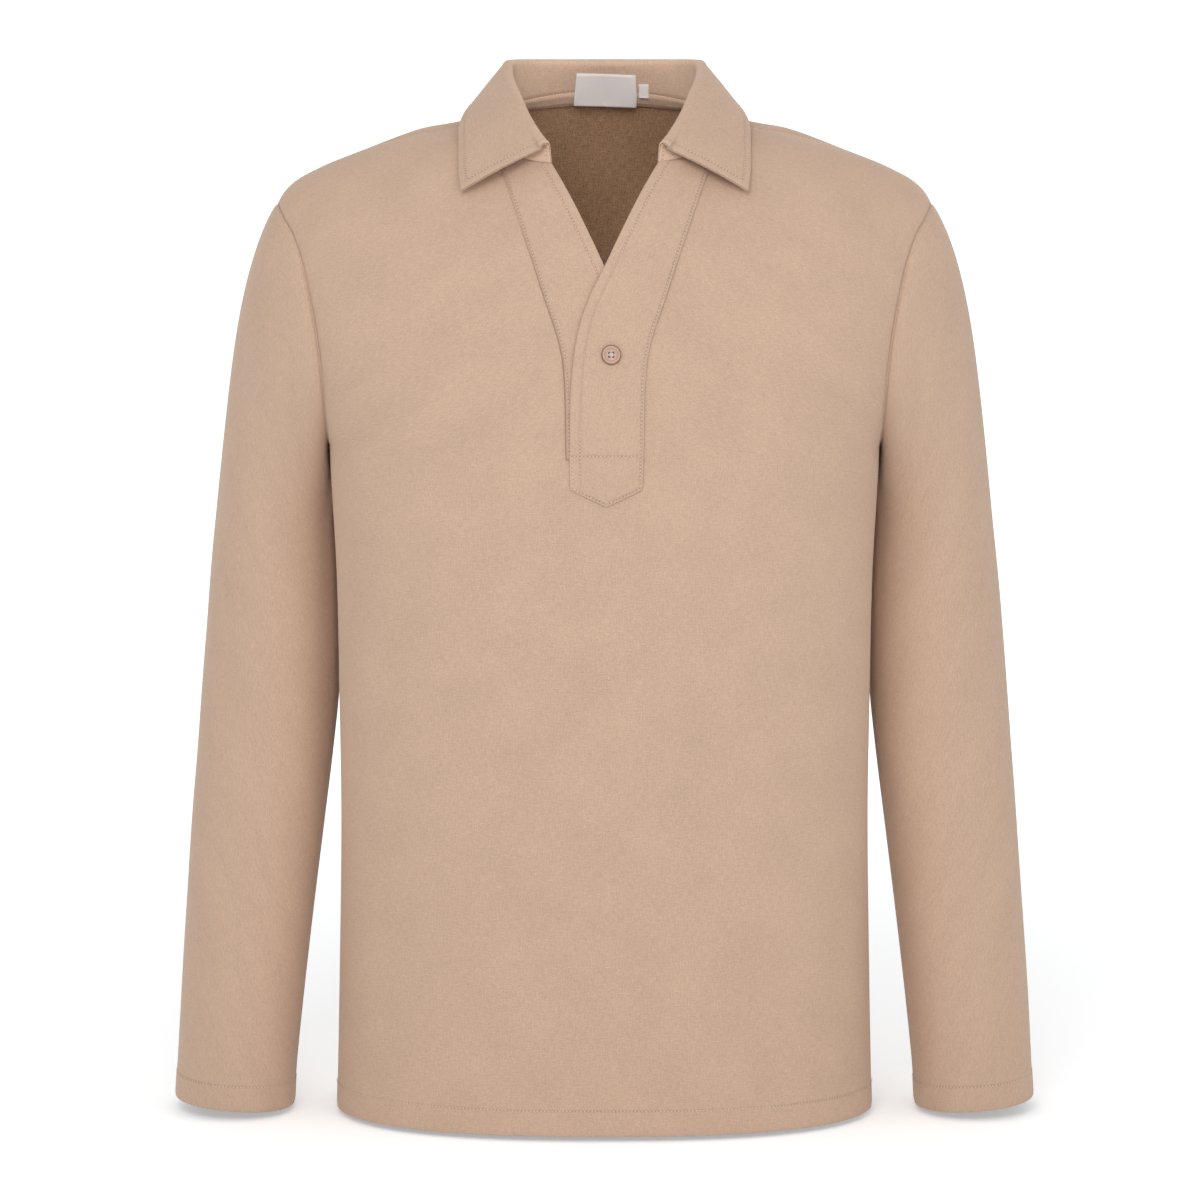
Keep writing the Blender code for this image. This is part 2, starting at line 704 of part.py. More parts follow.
def inner_neck_line(x, top_z, low_z, out):
    """A line down the inside of the stand and over the tape, off both of them."""
    stand = moved_out(collar_lines(), COLLAR_PLIES_APART + COLLAR_PLY / 2 + out, mirrored=True)
    tape = tape_lines(CLOTH + SEAM_GAP + TAPE_WALL + out)
    places = [neck_x(along) for along in NECK_STATIONS]
    i = max(k for k in range(len(places) - 1) if places[k] <= abs(x))
    share = (abs(x) - places[i]) / (places[i + 1] - places[i])
    foot = stand[i][0].lerp(stand[i + 1][0], share)
    head = stand[i][STAND_STEPS].lerp(stand[i + 1][STAND_STEPS], share)
    tape_top = tape[i][0].lerp(tape[i + 1][0], share)
    tape_low = tape[i][-1].lerp(tape[i + 1][-1], share)
    top = foot.lerp(head, (top_z - foot.z) / (head.z - foot.z))
    low = tape_top.lerp(tape_low, (tape_top.z - low_z) / (tape_top.z - tape_low.z))
    line = [top, top.lerp(foot, 0.5), foot, tape_top, low]
    if x < 0:
        for point in line:
            point.x = -point.x
    return line


def make_neck_trim(collection):
    """The tape under the back neck seam, the label over it, and the size tab beside it."""
    tape = add_object("neck_tape", loft(tape_lines(CLOTH + SEAM_GAP)), SHELL, collection)
    add_mirror(tape)
    make_wall(tape, TAPE_WALL)
    for name, patch in (("label", NECK_LABEL), ("size_tab", SIZE_TAB)):
        steps = max(1, round((patch.right_x - patch.left_x) / LABEL_COLUMN))
        lines = []
        for i in range(steps + 1):
            x = patch.left_x + (patch.right_x - patch.left_x) * i / steps
            lines.append(inner_neck_line(x, patch.top_z, patch.low_z, 2 * SEAM_GAP))
        make_wall(add_object(name, loft(lines), LABEL, collection), TAPE_WALL)


def make_button(collection):
    """A turned four-hole button on the over band, with a raised rim."""
    x, z = BUTTON_AT
    normal = body_normal(x, z, FRONT)
    seat = off_body(x, z, FRONT, OVER_BAND_LIFT + SEAM_GAP)
    profile = [(BUTTON_RADIUS * r, BUTTON_HEIGHT * h) for r, h in BUTTON_SECTION]
    mesh = bpy.data.meshes.new("button")
    edges = [(i, i + 1) for i in range(len(profile) - 1)]
    mesh.from_pydata([(r, 0, h) for r, h in profile], edges, [])
    button = add_object("button", mesh, HORN, collection)
    turned = button.modifiers.new("Turned", "SCREW")
    turned.steps = turned.render_steps = BUTTON_STEPS
    turned.use_merge_vertices = True
    turned.merge_threshold = 0.0001
    turned.use_smooth_shade = True
    button.rotation_mode = "QUATERNION"
    button.rotation_quaternion = normal.to_track_quat("Z", "Y")
    button.location = seat
    cutters = bpy.data.collections.new("cutters")
    bpy.context.scene.collection.children.link(cutters)
    for i in range(4):
        turn = math.pi / 4 + math.pi / 2 * i
        bpy.ops.mesh.primitive_cylinder_add(
            vertices=10, radius=BUTTON_HOLE_RADIUS, depth=4 * BUTTON_HEIGHT
        )
        cutter = bpy.context.object
        cutter.name = f"button_hole_{i + 1}"
        for owner in cutter.users_collection:
            owner.objects.unlink(cutter)
        cutters.objects.link(cutter)
        cutter.parent = button
        spread_out = BUTTON_HOLE_SPREAD
        cutter.location = (spread_out * math.cos(turn), spread_out * math.sin(turn), 0)
        cutter.hide_render = True
        cutter.display_type = "WIRE"
        hole = button.modifiers.new("Hole", "BOOLEAN")
        hole.operation = "DIFFERENCE"
        hole.object = cutter


def main():
    for old in list(bpy.data.objects):
        bpy.data.objects.remove(old, do_unlink=True)
    collection = bpy.data.collections.new("popover_shirt")
    bpy.context.scene.collection.children.link(collection)
    make_front(collection)
    make_back(collection)
    make_sleeve("sleeve_left", 1, collection)
    make_sleeve("sleeve_right", -1, collection)
    make_placket(collection)
    make_collar(collection)
    make_neck_trim(collection)
    make_button(collection)


main()
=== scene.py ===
"""Dresses the popover shirt: its cloth, seams, stitches, collar, labels and button, and a plain
studio. Metres, +Z up, the front towards -Y, and the wearer's left at +X.
"""

import math
from collections import namedtuple
from functools import lru_cache

import bmesh
import bpy
from bpy.props import FloatProperty, FloatVectorProperty, PointerProperty
from mathutils import Matrix, Vector, noise


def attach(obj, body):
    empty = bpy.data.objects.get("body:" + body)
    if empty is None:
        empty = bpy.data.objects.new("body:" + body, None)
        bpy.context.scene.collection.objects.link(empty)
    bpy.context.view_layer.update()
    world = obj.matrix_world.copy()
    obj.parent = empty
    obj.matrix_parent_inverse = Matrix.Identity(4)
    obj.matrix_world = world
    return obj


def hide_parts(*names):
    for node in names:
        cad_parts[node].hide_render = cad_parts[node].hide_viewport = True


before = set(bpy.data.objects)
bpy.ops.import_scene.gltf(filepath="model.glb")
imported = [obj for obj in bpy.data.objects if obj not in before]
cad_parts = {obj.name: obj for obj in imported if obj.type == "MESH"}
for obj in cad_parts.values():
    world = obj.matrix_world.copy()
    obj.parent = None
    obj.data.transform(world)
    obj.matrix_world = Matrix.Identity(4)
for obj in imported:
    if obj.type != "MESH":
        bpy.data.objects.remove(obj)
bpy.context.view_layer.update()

bl_info = {
    "name": "Popover shirt",
    "version": (1, 0, 0),
    "blender": (4, 5, 0),
    "location": "View3D > Sidebar > Shirt",
    "description": "Dresses a filled-out popover shirt in woven cloth and sets up its studio",
    "category": "Object",
}

BODY = "root"

# Seams of the worn shape, and how far inside an edge their lines of stitches run
SEAM_GAP = 0.0003
FOLD_GAP = 0.0013  # from the outer face of a turned edge to its inner face
SEAM_ROLL = 0.0007  # how far a seam pulls the cloth in
SEAM_ROLL_WIDTH = 0.0013
EDGE_STITCH = 0.0020
BAND_STITCH = 0.0074
COLLAR_STITCH = 0.0055
STAND_STITCH = 0.0030
TAPE_STITCH = 0.0018
ON_CLOTH = 0.0001  # how far a stitch lies off the cloth's surface
HEM_LIFT = 0.00035  # how far the turned layers lift the cloth over them

# Body
HEM_Z = -0.737
UNDERARM_Z = -0.245
BODY_FULLNESS = 2.4
DOME_FULLNESS = 2.2
CREST_RISE = 0.0055
CREST_BACK = 0.022
CREST_FADES = (0.125, 0.185)
CREST_STARTS = (-0.16, -0.06)
Ripple = namedtuple("Ripple", "height size")
BODY_RIPPLE = Ripple(0.0011, 0.085)

BodyLevel = namedtuple("BodyLevel", "z half_width front_depth back_depth side_y")
BODY_LEVELS = (
    BodyLevel(HEM_Z, 0.1992, 0.120, 0.117, 0.000),
    BodyLevel(-0.640, 0.1968, 0.117, 0.112, -0.002),
    BodyLevel(-0.520, 0.1946, 0.117, 0.109, -0.005),
    BodyLevel(-0.430, 0.1953, 0.120, 0.112, -0.007),
    BodyLevel(-0.340, 0.1966, 0.123, 0.118, -0.008),
    BodyLevel(UNDERARM_Z, 0.2010, 0.125, 0.123, -0.008),
    BodyLevel(-0.150, 0.2010, 0.125, 0.125, -0.004),
    BodyLevel(-0.070, 0.2010, 0.122, 0.122, 0.000),
    BodyLevel(0.050, 0.2010, 0.120, 0.120, 0.000),
)
ShoulderPoint = namedtuple("ShoulderPoint", "x z")
SHOULDER = (
    ShoulderPoint(0.0000, 0.0405),
    ShoulderPoint(0.0400, 0.0190),
    ShoulderPoint(0.0750, -0.0070),
    ShoulderPoint(0.1040, -0.0155),
    ShoulderPoint(0.1350, -0.0210),
    ShoulderPoint(0.1680, -0.0298),
    ShoulderPoint(0.1980, -0.0409),
    ShoulderPoint(0.2105, -0.0467),
    ShoulderPoint(0.2222, -0.0530),
    ShoulderPoint(0.2312, -0.0605),
    ShoulderPoint(0.2378, -0.0700),
)
SHOULDER_TIP = SHOULDER[-1]
ARMHOLE_HALF_DEPTH = 0.062
ARMHOLE_FULLNESS = 2.2
ARMHOLE_MIDDLE = (UNDERARM_Z + SHOULDER_TIP.z) / 2
ARMHOLE_HALF_HEIGHT = (SHOULDER_TIP.z - UNDERARM_Z) / 2
ArmholePoint = namedtuple("ArmholePoint", "z front_x back_x")
ARMHOLE = (
    ArmholePoint(UNDERARM_Z, 0.2010, 0.2010),
    ArmholePoint(-0.1985, 0.2030, 0.2060),
    ArmholePoint(-0.1600, 0.2069, 0.2130),
    ArmholePoint(-0.1146, 0.2159, 0.2230),
    ArmholePoint(-0.0908, 0.2245, 0.2300),
    ArmholePoint(-0.0807, 0.2312, 0.2345),
    ArmholePoint(SHOULDER_TIP.z, 0.2378, 0.2378),
)

# Sleeves
SLEEVE_FULLNESS = 2.2
CAP_EASE = 0.62
CUFF_Z = -0.7335
CUFF_TILT = 0.08
CUFF_TILT_FROM = -0.612
SLEEVE_TOP_Z = -0.300
TUCK_SHARE = 0.98  # how far across the body's panel the sleeve's seam allowance reaches
TUCK_DEPTH = 0.0020
SLEEVE_RIPPLE = Ripple(0.0010, 0.06)
SLEEVE_RADIUS = 0.045
CAP_LENGTH = 0.11
SleeveLevel = namedtuple("SleeveLevel", "z inner_x outer_x centre_y half_depth")
SLEEVE_LEVELS = (
    SleeveLevel(CUFF_Z, 0.2302, 0.3184, -0.006, 0.049),
    SleeveLevel(-0.702, 0.2282, 0.3164, -0.004, 0.051),
    SleeveLevel(-0.612, 0.2180, 0.3113, 0.005, 0.053),
    SleeveLevel(-0.522, 0.2069, 0.3052, 0.017, 0.055),
    SleeveLevel(-0.477, 0.2013, 0.3018, 0.023, 0.056),
    SleeveLevel(-0.432, 0.1967, 0.2985, 0.029, 0.058),
    SleeveLevel(-0.387, 0.1950, 0.2948, 0.033, 0.060),
    SleeveLevel(-0.342, 0.1958, 0.2908, 0.033, 0.063),
    SleeveLevel(SLEEVE_TOP_Z, 0.1975, 0.2862, 0.032, 0.066),
)

# Neckline and placket
NECK_SIDE_X = 0.075
NECK_BACK_Z = 0.0061
V_CORNER_Z = -0.0375
NeckPoint = namedtuple("NeckPoint", "along x z")
NECK_FRONT = (
    NeckPoint(0.50, NECK_SIDE_X, -0.0070),
    NeckPoint(0.56, 0.0755, -0.0083),
    NeckPoint(0.67, 0.0745, -0.0150),
    NeckPoint(0.79, 0.0675, -0.0275),
    NeckPoint(0.90, 0.0550, -0.0352),
    NeckPoint(1.00, 0.0380, V_CORNER_Z),
)
BandPoint = namedtuple("BandPoint", "z seam_x edge_x")
BANDS = (
    BandPoint(-0.2665, 0.0268, -0.0246),
    BandPoint(-0.2420, 0.0275, -0.0248),
    BandPoint(-0.2000, 0.0283, -0.0241),
    BandPoint(-0.1750, 0.0300, -0.0220),
    BandPoint(-0.1557, 0.0345, -0.0188),
    BandPoint(-0.1351, 0.0418, -0.0124),
    BandPoint(-0.1089, 0.0505, 0.0002),
    BandPoint(-0.0904, 0.0570, 0.0090),
    BandPoint(-0.0615, 0.0672, 0.0237),
    BandPoint(V_CORNER_Z, 0.0765, 0.0380),
    BandPoint(-0.0120, 0.0885, 0.0550),
)
BAND_STITCH_TOP_Z = -0.016
SLOT_BOTTOM_Z = UNDERARM_Z
TAB_POINT = (0.0012, -0.2785)
TAB_RISE = 0.0125
TAB_STITCH_HALF = 0.0237
SLOT_HIDDEN = 0.0025
SPREAD_FROM = 0.009  # from a band's folded edge to where its columns start to spread out
BAND_TURN = 0.014
BAND_ROLL = 0.9
OVER_BAND_LIFT = 0.00165
OVER_BAND_LIFT_AT_SHOULDER = 0.0009
COLLAR_PRESS = 0.0006  # how much lower the over band lies under the collar
COLLAR_COVERS_Z = -0.0100
UNDER_BAND_HIDDEN_EDGE = 0.0220
UNDER_BAND_GAP = 1.5 * SEAM_GAP
UNDER_STITCH_LOW_Z = -0.135
BOX_STITCH_Z = -0.242
BOX_STITCH_ENDS = (-0.0228, 0.0255)
GAPE = 0.0012  # how much further the over band's free edge stands off above the box
GAPE_OPENS = (BOX_STITCH_Z + 0.004, -0.205)
GAPE_CLOSES = (-0.125, -0.085)
GAPE_WIDTH = 0.016

# Collar
FOLD_RADIUS = 0.0030
FALL_BOW = 0.020
COLLAR_FOOT_GAP = -0.0004
COLLAR_PLY = 0.0006
PLIES_APART = 0.00085
PLIES_MEET = 0.00035  # how much closer the plies lie at the collar's edge
UPPER_PLY_LIFT = 0.0002
RIM_WIDTH = 0.0010
CollarPoint = namedtuple("CollarPoint", "along fold edge")
COLLAR = (
    CollarPoint(0.00, (0.0000, 0.0560, 0.0305), (0.0000, 0.0850, -0.0140)),
    CollarPoint(0.25, (0.0490, 0.0430, 0.0310), (0.0650, 0.0690, -0.0120)),
    CollarPoint(0.40, (0.0668, 0.0250, 0.0312), (0.0930, 0.0410, -0.0075)),
    CollarPoint(0.48, (0.0700, 0.0110, 0.0302), (0.0985, 0.0210, -0.0050)),
    CollarPoint(0.56, (0.0690, -0.0080, 0.0225), (0.1015, -0.0020, -0.0060)),
    CollarPoint(0.67, (0.0625, -0.0340, 0.0100), (0.1045, -0.0260, -0.0145)),
    CollarPoint(0.79, (0.0560, -0.0550, -0.0030), (0.1045, -0.0480, -0.0290)),
    CollarPoint(0.90, (0.0490, -0.0720, -0.0145), (0.1040, -0.0660, -0.0435)),
    CollarPoint(1.00, (0.0430, -0.0870, -0.0240), (0.1020, -0.0820, -0.0575)),
)
STAND_STEPS = 7
FOLD_STEPS = 10
FALL_STEPS = 16
COLLAR_STEPS = 60  # from the middle of the back to each front end

# Inside the back neck
Patch = namedtuple("Patch", "left_x right_x top_z low_z")
NECK_LABEL = Patch(-0.0232, 0.0247, 0.0210, -0.0032)
SIZE_TAB = Patch(0.0262, 0.0337, 0.0137, 0.0042)
TAPE_DEPTH = 0.0120
TAPE_OFF_BACK = 0.0015
TAPE_FACE = 0.0012
TAPE_SEAT = 0.0009
TAPE_TOP = -0.0009
LABEL_WALL = 0.0004
LABEL_OFF_TAPE = 0.0005

# Button
BUTTON_AT = (0.0046, -0.171)
BUTTON_RADIUS = 0.0070
BUTTON_PROFILE = (
    (0.0000, 0.0016), (0.0028, 0.0016), (0.0040, 0.0017), (0.0046, 0.0021), (0.0051, 0.0026),
    (0.0057, 0.0028), (0.0063, 0.0027), (0.0068, 0.0023), (0.0070, 0.0018), (0.0069, 0.0011),
    (0.0062, 0.0006), (0.0045, 0.0003), (0.0000, 0.0003),
)
# Shares of the button's radius and how dark its colour is painted there: painted shade on the slope up to
# the rim and round the rim's edge
BUTTON_SHADE_RINGS = ((0.62, 1.0), (0.69, 0.84), (0.76, 1.0), (0.93, 1.0), (0.99, 0.60))
BUTTON_FACE = 0.0016
BUTTON_HOLES = 4
BUTTON_HOLE_RADIUS = 0.0008
BUTTON_HOLE_SPREAD = 0.0020
BUTTONHOLE_HALF = 0.0092
BAR_HALF = 0.0006

FRONT, BACK = -1, 1
RIGHT, LEFT = -1, 1


def length(name, description, default, low, high):
    return FloatProperty(
        name=name, description=description, default=default, min=low, max=high, unit="LENGTH",
        precision=5,
    )


def colour(name, description, default):
    return FloatVectorProperty(
        name=name, description=description, default=default, min=0, max=1, subtype="COLOR"
    )


class ShirtCloth(bpy.types.PropertyGroup):
    """Sizes and colours of the cloth and what is sewn with it."""

    ply: length("Cloth", "Thickness of one layer of the cloth", 0.0006, 0.0002, 0.0012)
    hem_depth: length("Hem", "Depth of the turned hem and of the turned cuffs", 0.0187, 0.005, 0.05)
    stitch_pitch: length("Stitch pitch", "From one stitch to the next", 0.0026, 0.0015, 0.006)
    stitch_width: length("Thread", "Width of a stitch", 0.00048, 0.0002, 0.001)
    weave_pitch: length("Weave", "From one thread of the cloth to the next", 0.00055, 0.0002, 0.002)
    cloth_colour: colour("Cloth colour", "Colour of the shirt's cloth", (0.60, 0.416, 0.304))
    thread_colour: colour("Thread colour", "Colour of the sewing thread", (0.86, 0.71, 0.59))
    # Painted shade: the dark dots between stitches take this colour, and the button's holes a darker copy
    # of it
    painted_shade_colour: colour("Needle hole colour", "Painted shade in the dips between stitches and in the button's holes", (0.24, 0.14, 0.09))
    # Painted shade: a darker, warmer copy of the cloth's colour for the inner faces, standing in for the
    # shade and warm bounce inside the shirt
    inside_shade_colour: colour("Inside colour", "Painted shade colour of the cloth's inner faces", (0.61, 0.36, 0.208))
    label_colour: colour("Label colour", "Colour of the bare label and size tab", (0.96, 0.90, 0.87))
    button_colour: colour("Button colour", "Colour of the button", (0.56, 0.37, 0.29))


class ShirtStudio(bpy.types.PropertyGroup):
    """The camera and the light."""

    camera_place: FloatVectorProperty(
        name="Camera", description="Where the camera stands",
        default=(-0.0033, -3.75, 0.131), subtype="TRANSLATION", unit="LENGTH",
    )
    camera_aim: FloatVectorProperty(
        name="Aim", description="What the camera looks at",
        default=(-0.0033, 0.0, -0.362), subtype="TRANSLATION", unit="LENGTH",
    )
    focal_length: FloatProperty(
        name="Focal length", description="Focal length for a 36 mm sensor",
        default=154.4, min=20, max=400, unit="CAMERA",
    )
    surround: FloatProperty(
        name="Surround", description="Strength of the even light from all round",
        default=0.61, min=0, max=5,
    )
    key: FloatProperty(
        name="Key light", description="Power of the large light in front",
        default=27.0, min=0, max=500, unit="POWER",
    )
    floor_light: FloatProperty(
        name="Floor light", description="Glow that keeps the floor white round the shirt",
        default=0.37, min=0, max=2,
    )
    far_light: FloatProperty(
        name="Backdrop light", description="Glow that keeps the backdrop white",
        default=0.62, min=0, max=2,
    )


def blend(t, start, end, leave, arrive):
    """From start to end as t goes from 0 to 1, leaving and arriving along these two."""
    return (
        (1 + 2 * t) * (1 - t) ** 2 * start
        + t * (1 - t) ** 2 * leave
        + t * t * (3 - 2 * t) * end
        + t * t * (t - 1) * arrive
    )


class Curve:
    """A smooth curve through (place, value) pairs, in rising order of place."""

    def __init__(self, pairs):
        self.places = [p[0] for p in pairs]
        self.values = [p[1] for p in pairs]
        last = len(pairs) - 1
        self.slopes = []
        for k in range(len(pairs)):
            low, high = max(k - 1, 0), min(k + 1, last)
            rise = self.values[high] - self.values[low]
            self.slopes.append(rise / (self.places[high] - self.places[low]))

    def __call__(self, at):
        places, values, slopes = self.places, self.values, self.slopes
        at = min(max(at, places[0]), places[-1])
        i = 0
        while i < len(places) - 2 and places[i + 1] <= at:
            i += 1
        span = places[i + 1] - places[i]
        share = (at - places[i]) / span
        leave, arrive = span * slopes[i], span * slopes[i + 1]
        return blend(share, values[i], values[i + 1], leave, arrive)


def curve_of(table, place, value):
    return Curve([(getattr(row, place), getattr(row, value)) for row in table])


shoulder_curve = curve_of(SHOULDER, "x", "z")
body_half_width_curve = curve_of(BODY_LEVELS, "z", "half_width")
body_depth_curve = {
    FRONT: curve_of(BODY_LEVELS, "z", "front_depth"),
    BACK: curve_of(BODY_LEVELS, "z", "back_depth"),
}
side_y_curve = curve_of(BODY_LEVELS, "z", "side_y")
armhole_curve = {
    FRONT: curve_of(ARMHOLE, "z", "front_x"),
    BACK: curve_of(ARMHOLE, "z", "back_x"),
}
sleeve_curve = {
    field: curve_of(SLEEVE_LEVELS, "z", field)
    for field in ("inner_x", "outer_x", "centre_y", "half_depth")
}
neck_x_curve = curve_of(NECK_FRONT, "along", "x")
neck_z_curve = curve_of(NECK_FRONT, "along", "z")
neck_x_at_height = curve_of(NECK_FRONT[::-1], "z", "x")
band_seam_curve = curve_of(BANDS, "z", "seam_x")
band_edge_curve = curve_of(BANDS, "z", "edge_x")
collar_curve = {
    field: [Curve([(p.along, getattr(p, field)[k]) for p in COLLAR]) for k in range(3)]
    for field in ("fold", "edge")
}


def fade(low, high, at):
    """0 below low, 1 above high, and a soft step between them."""
    t = min(max((at - low) / (high - low), 0), 1)
    return t * t * (3 - 2 * t)


def rounded(share, fullness):
    """How far a rounded outline stands out at this share of its half width."""
    return max(1 - min(abs(share), 1) ** fullness, 0) ** (1 / fullness)


def signed_power(value, power):
    return math.copysign(abs(value) ** power, value)


def shoulder_z(x):
    return shoulder_curve(abs(x))


def dome(x, z):
    share = (z - UNDERARM_Z) / (shoulder_z(x) - UNDERARM_Z)
    return rounded(max(share, 0), DOME_FULLNESS)


def body_half_width(z, face):
    if z <= UNDERARM_Z:
        return body_half_width_curve(z)
    z = min(z, SHOULDER_TIP.z - 0.002)
    edge = armhole_curve[face](z)
    height = (z - ARMHOLE_MIDDLE) / ARMHOLE_HALF_HEIGHT
    depth = ARMHOLE_HALF_DEPTH * rounded(height, ARMHOLE_FULLNESS)
    share = depth / (body_depth_curve[face](z) * dome(edge, z))
    return edge / rounded(share, BODY_FULLNESS)


def body_point(x, z, face):
    """A point of the body's outer surface, front or back."""
    across = rounded(x / body_half_width(z, face), BODY_FULLNESS)
    reach = body_depth_curve[face](z) * across * dome(x, z)
    if face == BACK:
        rise = CREST_RISE * (1 - fade(*CREST_FADES, abs(x))) * fade(*CREST_STARTS, z)
        lifted = z + rise * reach / CREST_BACK * math.exp(1 - reach / CREST_BACK)
        return Vector((x, side_y_curve(z) + reach, lifted))
    return Vector((x, side_y_curve(z) - reach, z))


def body_normal(x, z, face):
    step = 0.0004
    along_x = body_point(x + step, z, face) - body_point(x - step, z, face)
    along_z = body_point(x, z + step, face) - body_point(x, z - step, face)
    return along_x.cross(along_z).normalized() * (1 if face == FRONT else -1)


def off_body(x, z, face, out):
    """A point off the body's surface, or inside it where out is negative."""
    return body_point(x, z, face) + body_normal(x, z, face) * out


def armhole_z(angle):
    return ARMHOLE_MIDDLE + ARMHOLE_HALF_HEIGHT * signed_power(math.cos(angle), 2 / ARMHOLE_FULLNESS)


def armhole_point(angle):
    """A point of the left armhole's seam: 0 is the shoulder, and the front comes first."""
    face = FRONT if math.sin(angle) >= 0 else BACK
    z = armhole_z(angle)
    return body_point(armhole_curve[face](z), z, face)


def ripple(x, y, z, size):
    """The cloth's soft unevenness at a place, for waves of this size."""
    return noise.noise(Vector((x, y, z)) / size)


# Turned edges

Turn = namedtuple("Turn", "run inset")


def turned_edge(depth):
    """Distances from a turned edge, and how far in the cloth lies there, inner side first."""
    radius = FOLD_GAP / 2
    turns = [Turn(share * depth, FOLD_GAP) for share in (1.06, 0.75, 0.4, 0.15)]
    for i in range(7):
        angle = math.pi * i / 6
        turns.append(Turn(radius - radius * math.sin(angle), radius + radius * math.cos(angle)))
    return turns


def runs_above(depth, end, step):
    """Distances from a turned edge for the rows above it, closest beside its stitches."""
    runs = [0.003, 0.008, 0.013, depth - 0.003, depth - 0.001, depth, depth + 0.001, depth + 0.003]
    run = depth + 0.010
    while run < end:
        runs.append(run)
        run += step
    return runs


def hem_fullness(run, depth):
    """How far the cloth stands up at this distance from its turned edge."""
    over_layers = fade(0, 0.003, run) * (1 - fade(depth - 0.0015, depth + 0.0015, run))
    return HEM_LIFT * over_layers


def pulled_in(distance):
    """How far a seam at this distance draws the cloth in."""
    return SEAM_ROLL * math.exp(-((distance / SEAM_ROLL_WIDTH) ** 2))


# Pieces

def new_cloth(columns, rows, place, along_seam=None, cross_seam=None, faded=None, is_open=None):
    """A sheet of cloth as a bmesh: a grid whose points are set by their column and row.

    Its UV map is in metres along the cloth. along_seam and cross_seam give a point's distance
    to the lines of stitches round it and across it, negative on their far side, and the next
    argument gives painted light: how much lighter the cloth's colour is painted there. is_open
    tells from its place in the grid whether a point lies in an opening: a face between such
    points is left out.
    """
    sheet = bmesh.new()
    across, up = len(columns) - 1, len(rows) - 1
    bmesh.ops.create_grid(sheet, x_segments=across, y_segments=up, size=0.5)
    grid = [[None] * (up + 1) for _ in range(across + 1)]
    seams = ((sheet.verts.layers.float.new("seam"), along_seam),
             (sheet.verts.layers.float.new("cross_seam"), cross_seam))
    # Painted light: a per-point share by which the cloth's colour is painted lighter
    painted_lightening = sheet.verts.layers.float.new("faded")
    for vert in sheet.verts:
        i = round((vert.co.x + 0.5) * across)
        j = round((vert.co.y + 0.5) * up)
        grid[i][j] = vert
        vert.co = place(columns[i], rows[j])
        for layer, distance in seams:
            vert[layer] = distance(columns[i], rows[j]) if distance else 1.0
        vert[painted_lightening] = faded(columns[i], rows[j]) if faded else 0.0
    run = {}
    middle = (across + 1) // 2
    for j in range(up + 1):
        run[grid[middle][j]] = 0.0
        for i in range(middle + 1, across + 1):
            run[grid[i][j]] = run[grid[i - 1][j]] + (grid[i][j].co - grid[i - 1][j].co).length
        for i in range(middle - 1, -1, -1):
            run[grid[i][j]] = run[grid[i + 1][j]] - (grid[i][j].co - grid[i + 1][j].co).length
    rise = {}
    for line in grid:
        rise[line[0]] = 0.0
        for low, high in zip(line, line[1:]):
            rise[high] = rise[low] + (high.co - low.co).length
    uv = sheet.loops.layers.uv.new("Cloth")
    for face in sheet.faces:
        for corner in face.loops:
            corner[uv].uv = (run[corner.vert], rise[corner.vert])
    if is_open:
        inside = {
            vert for i, line in enumerate(grid) for j, vert in enumerate(line) if is_open(i, j)
        }
        cut = [face for face in sheet.faces if inside.issuperset(face.verts)]
        bmesh.ops.delete(sheet, geom=cut, context="FACES")
    return sheet


def add_piece(name, shape, material, nodes=(), slot="shell_fabric"):
    mesh = bpy.data.meshes.new(name)
    shape.to_mesh(mesh)
    shape.free()
    mesh.shade_smooth()
    mesh.materials.append(material)
    piece = bpy.data.objects.new(name, mesh)
    bpy.context.scene.collection.objects.link(piece)
    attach(piece, BODY)
    if nodes:
        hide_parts(*nodes)
    return piece


def add_wall(piece, thickness, offset=-1):
    wall = piece.modifiers.new("Wall", "SOLIDIFY")
    wall.thickness = thickness
    wall.offset = offset
    wall.use_even_offset = False
    wall.use_quality_normals = True


def add_sheet(name, sheet, material, nodes, flat, held="hung", wall=None, flip=False, **more):
    """Finishes a sheet of cloth, and checks that its area fits the size that it was cut to."""
    if flip:
        bmesh.ops.reverse_faces(sheet, faces=sheet.faces[:])
    area = sum(face.calc_area() for face in sheet.faces)
    width, length = flat
    if area > width * length:
        raise RuntimeError(f"{name}: {area:.4f} square metres don't fit {width} x {length}")
    piece = add_piece(name, sheet, material, nodes, more.pop("slot", "shell_fabric"))
    inner = more.pop("inner", None)
    add_wall(piece, wall or bpy.context.scene.shirt_cloth.ply, more.pop("offset", -1))
    if inner:
        piece.data.materials.append(inner)
        piece.modifiers["Wall"].material_offset = 1
    return piece


# Materials

def add_node(tree, kind, inputs=None, **settings):
    node = tree.nodes.new(kind)
    for key, value in settings.items():
        setattr(node, key, value)
    for key, value in (inputs or {}).items():
        if isinstance(value, bpy.types.NodeSocket):
            tree.links.new(value, node.inputs[key])
        else:
            node.inputs[key].default_value = value
    return node


def calculate(tree, operation, *values):
    inputs = dict(enumerate(values))
    return add_node(tree, "ShaderNodeMath", inputs, operation=operation).outputs[0]


def new_group(name, inputs, outputs):
    group = bpy.data.node_groups.get(name)
    if group:
        return group, False
    group = bpy.data.node_groups.new(name, "ShaderNodeTree")
    for socket_name, kind, default in inputs:
        socket = group.interface.new_socket(socket_name, in_out="INPUT", socket_type=kind)
        if default is not None:
            socket.default_value = default
    for socket_name, kind in outputs:
        group.interface.new_socket(socket_name, in_out="OUTPUT", socket_type=kind)
    return group, True


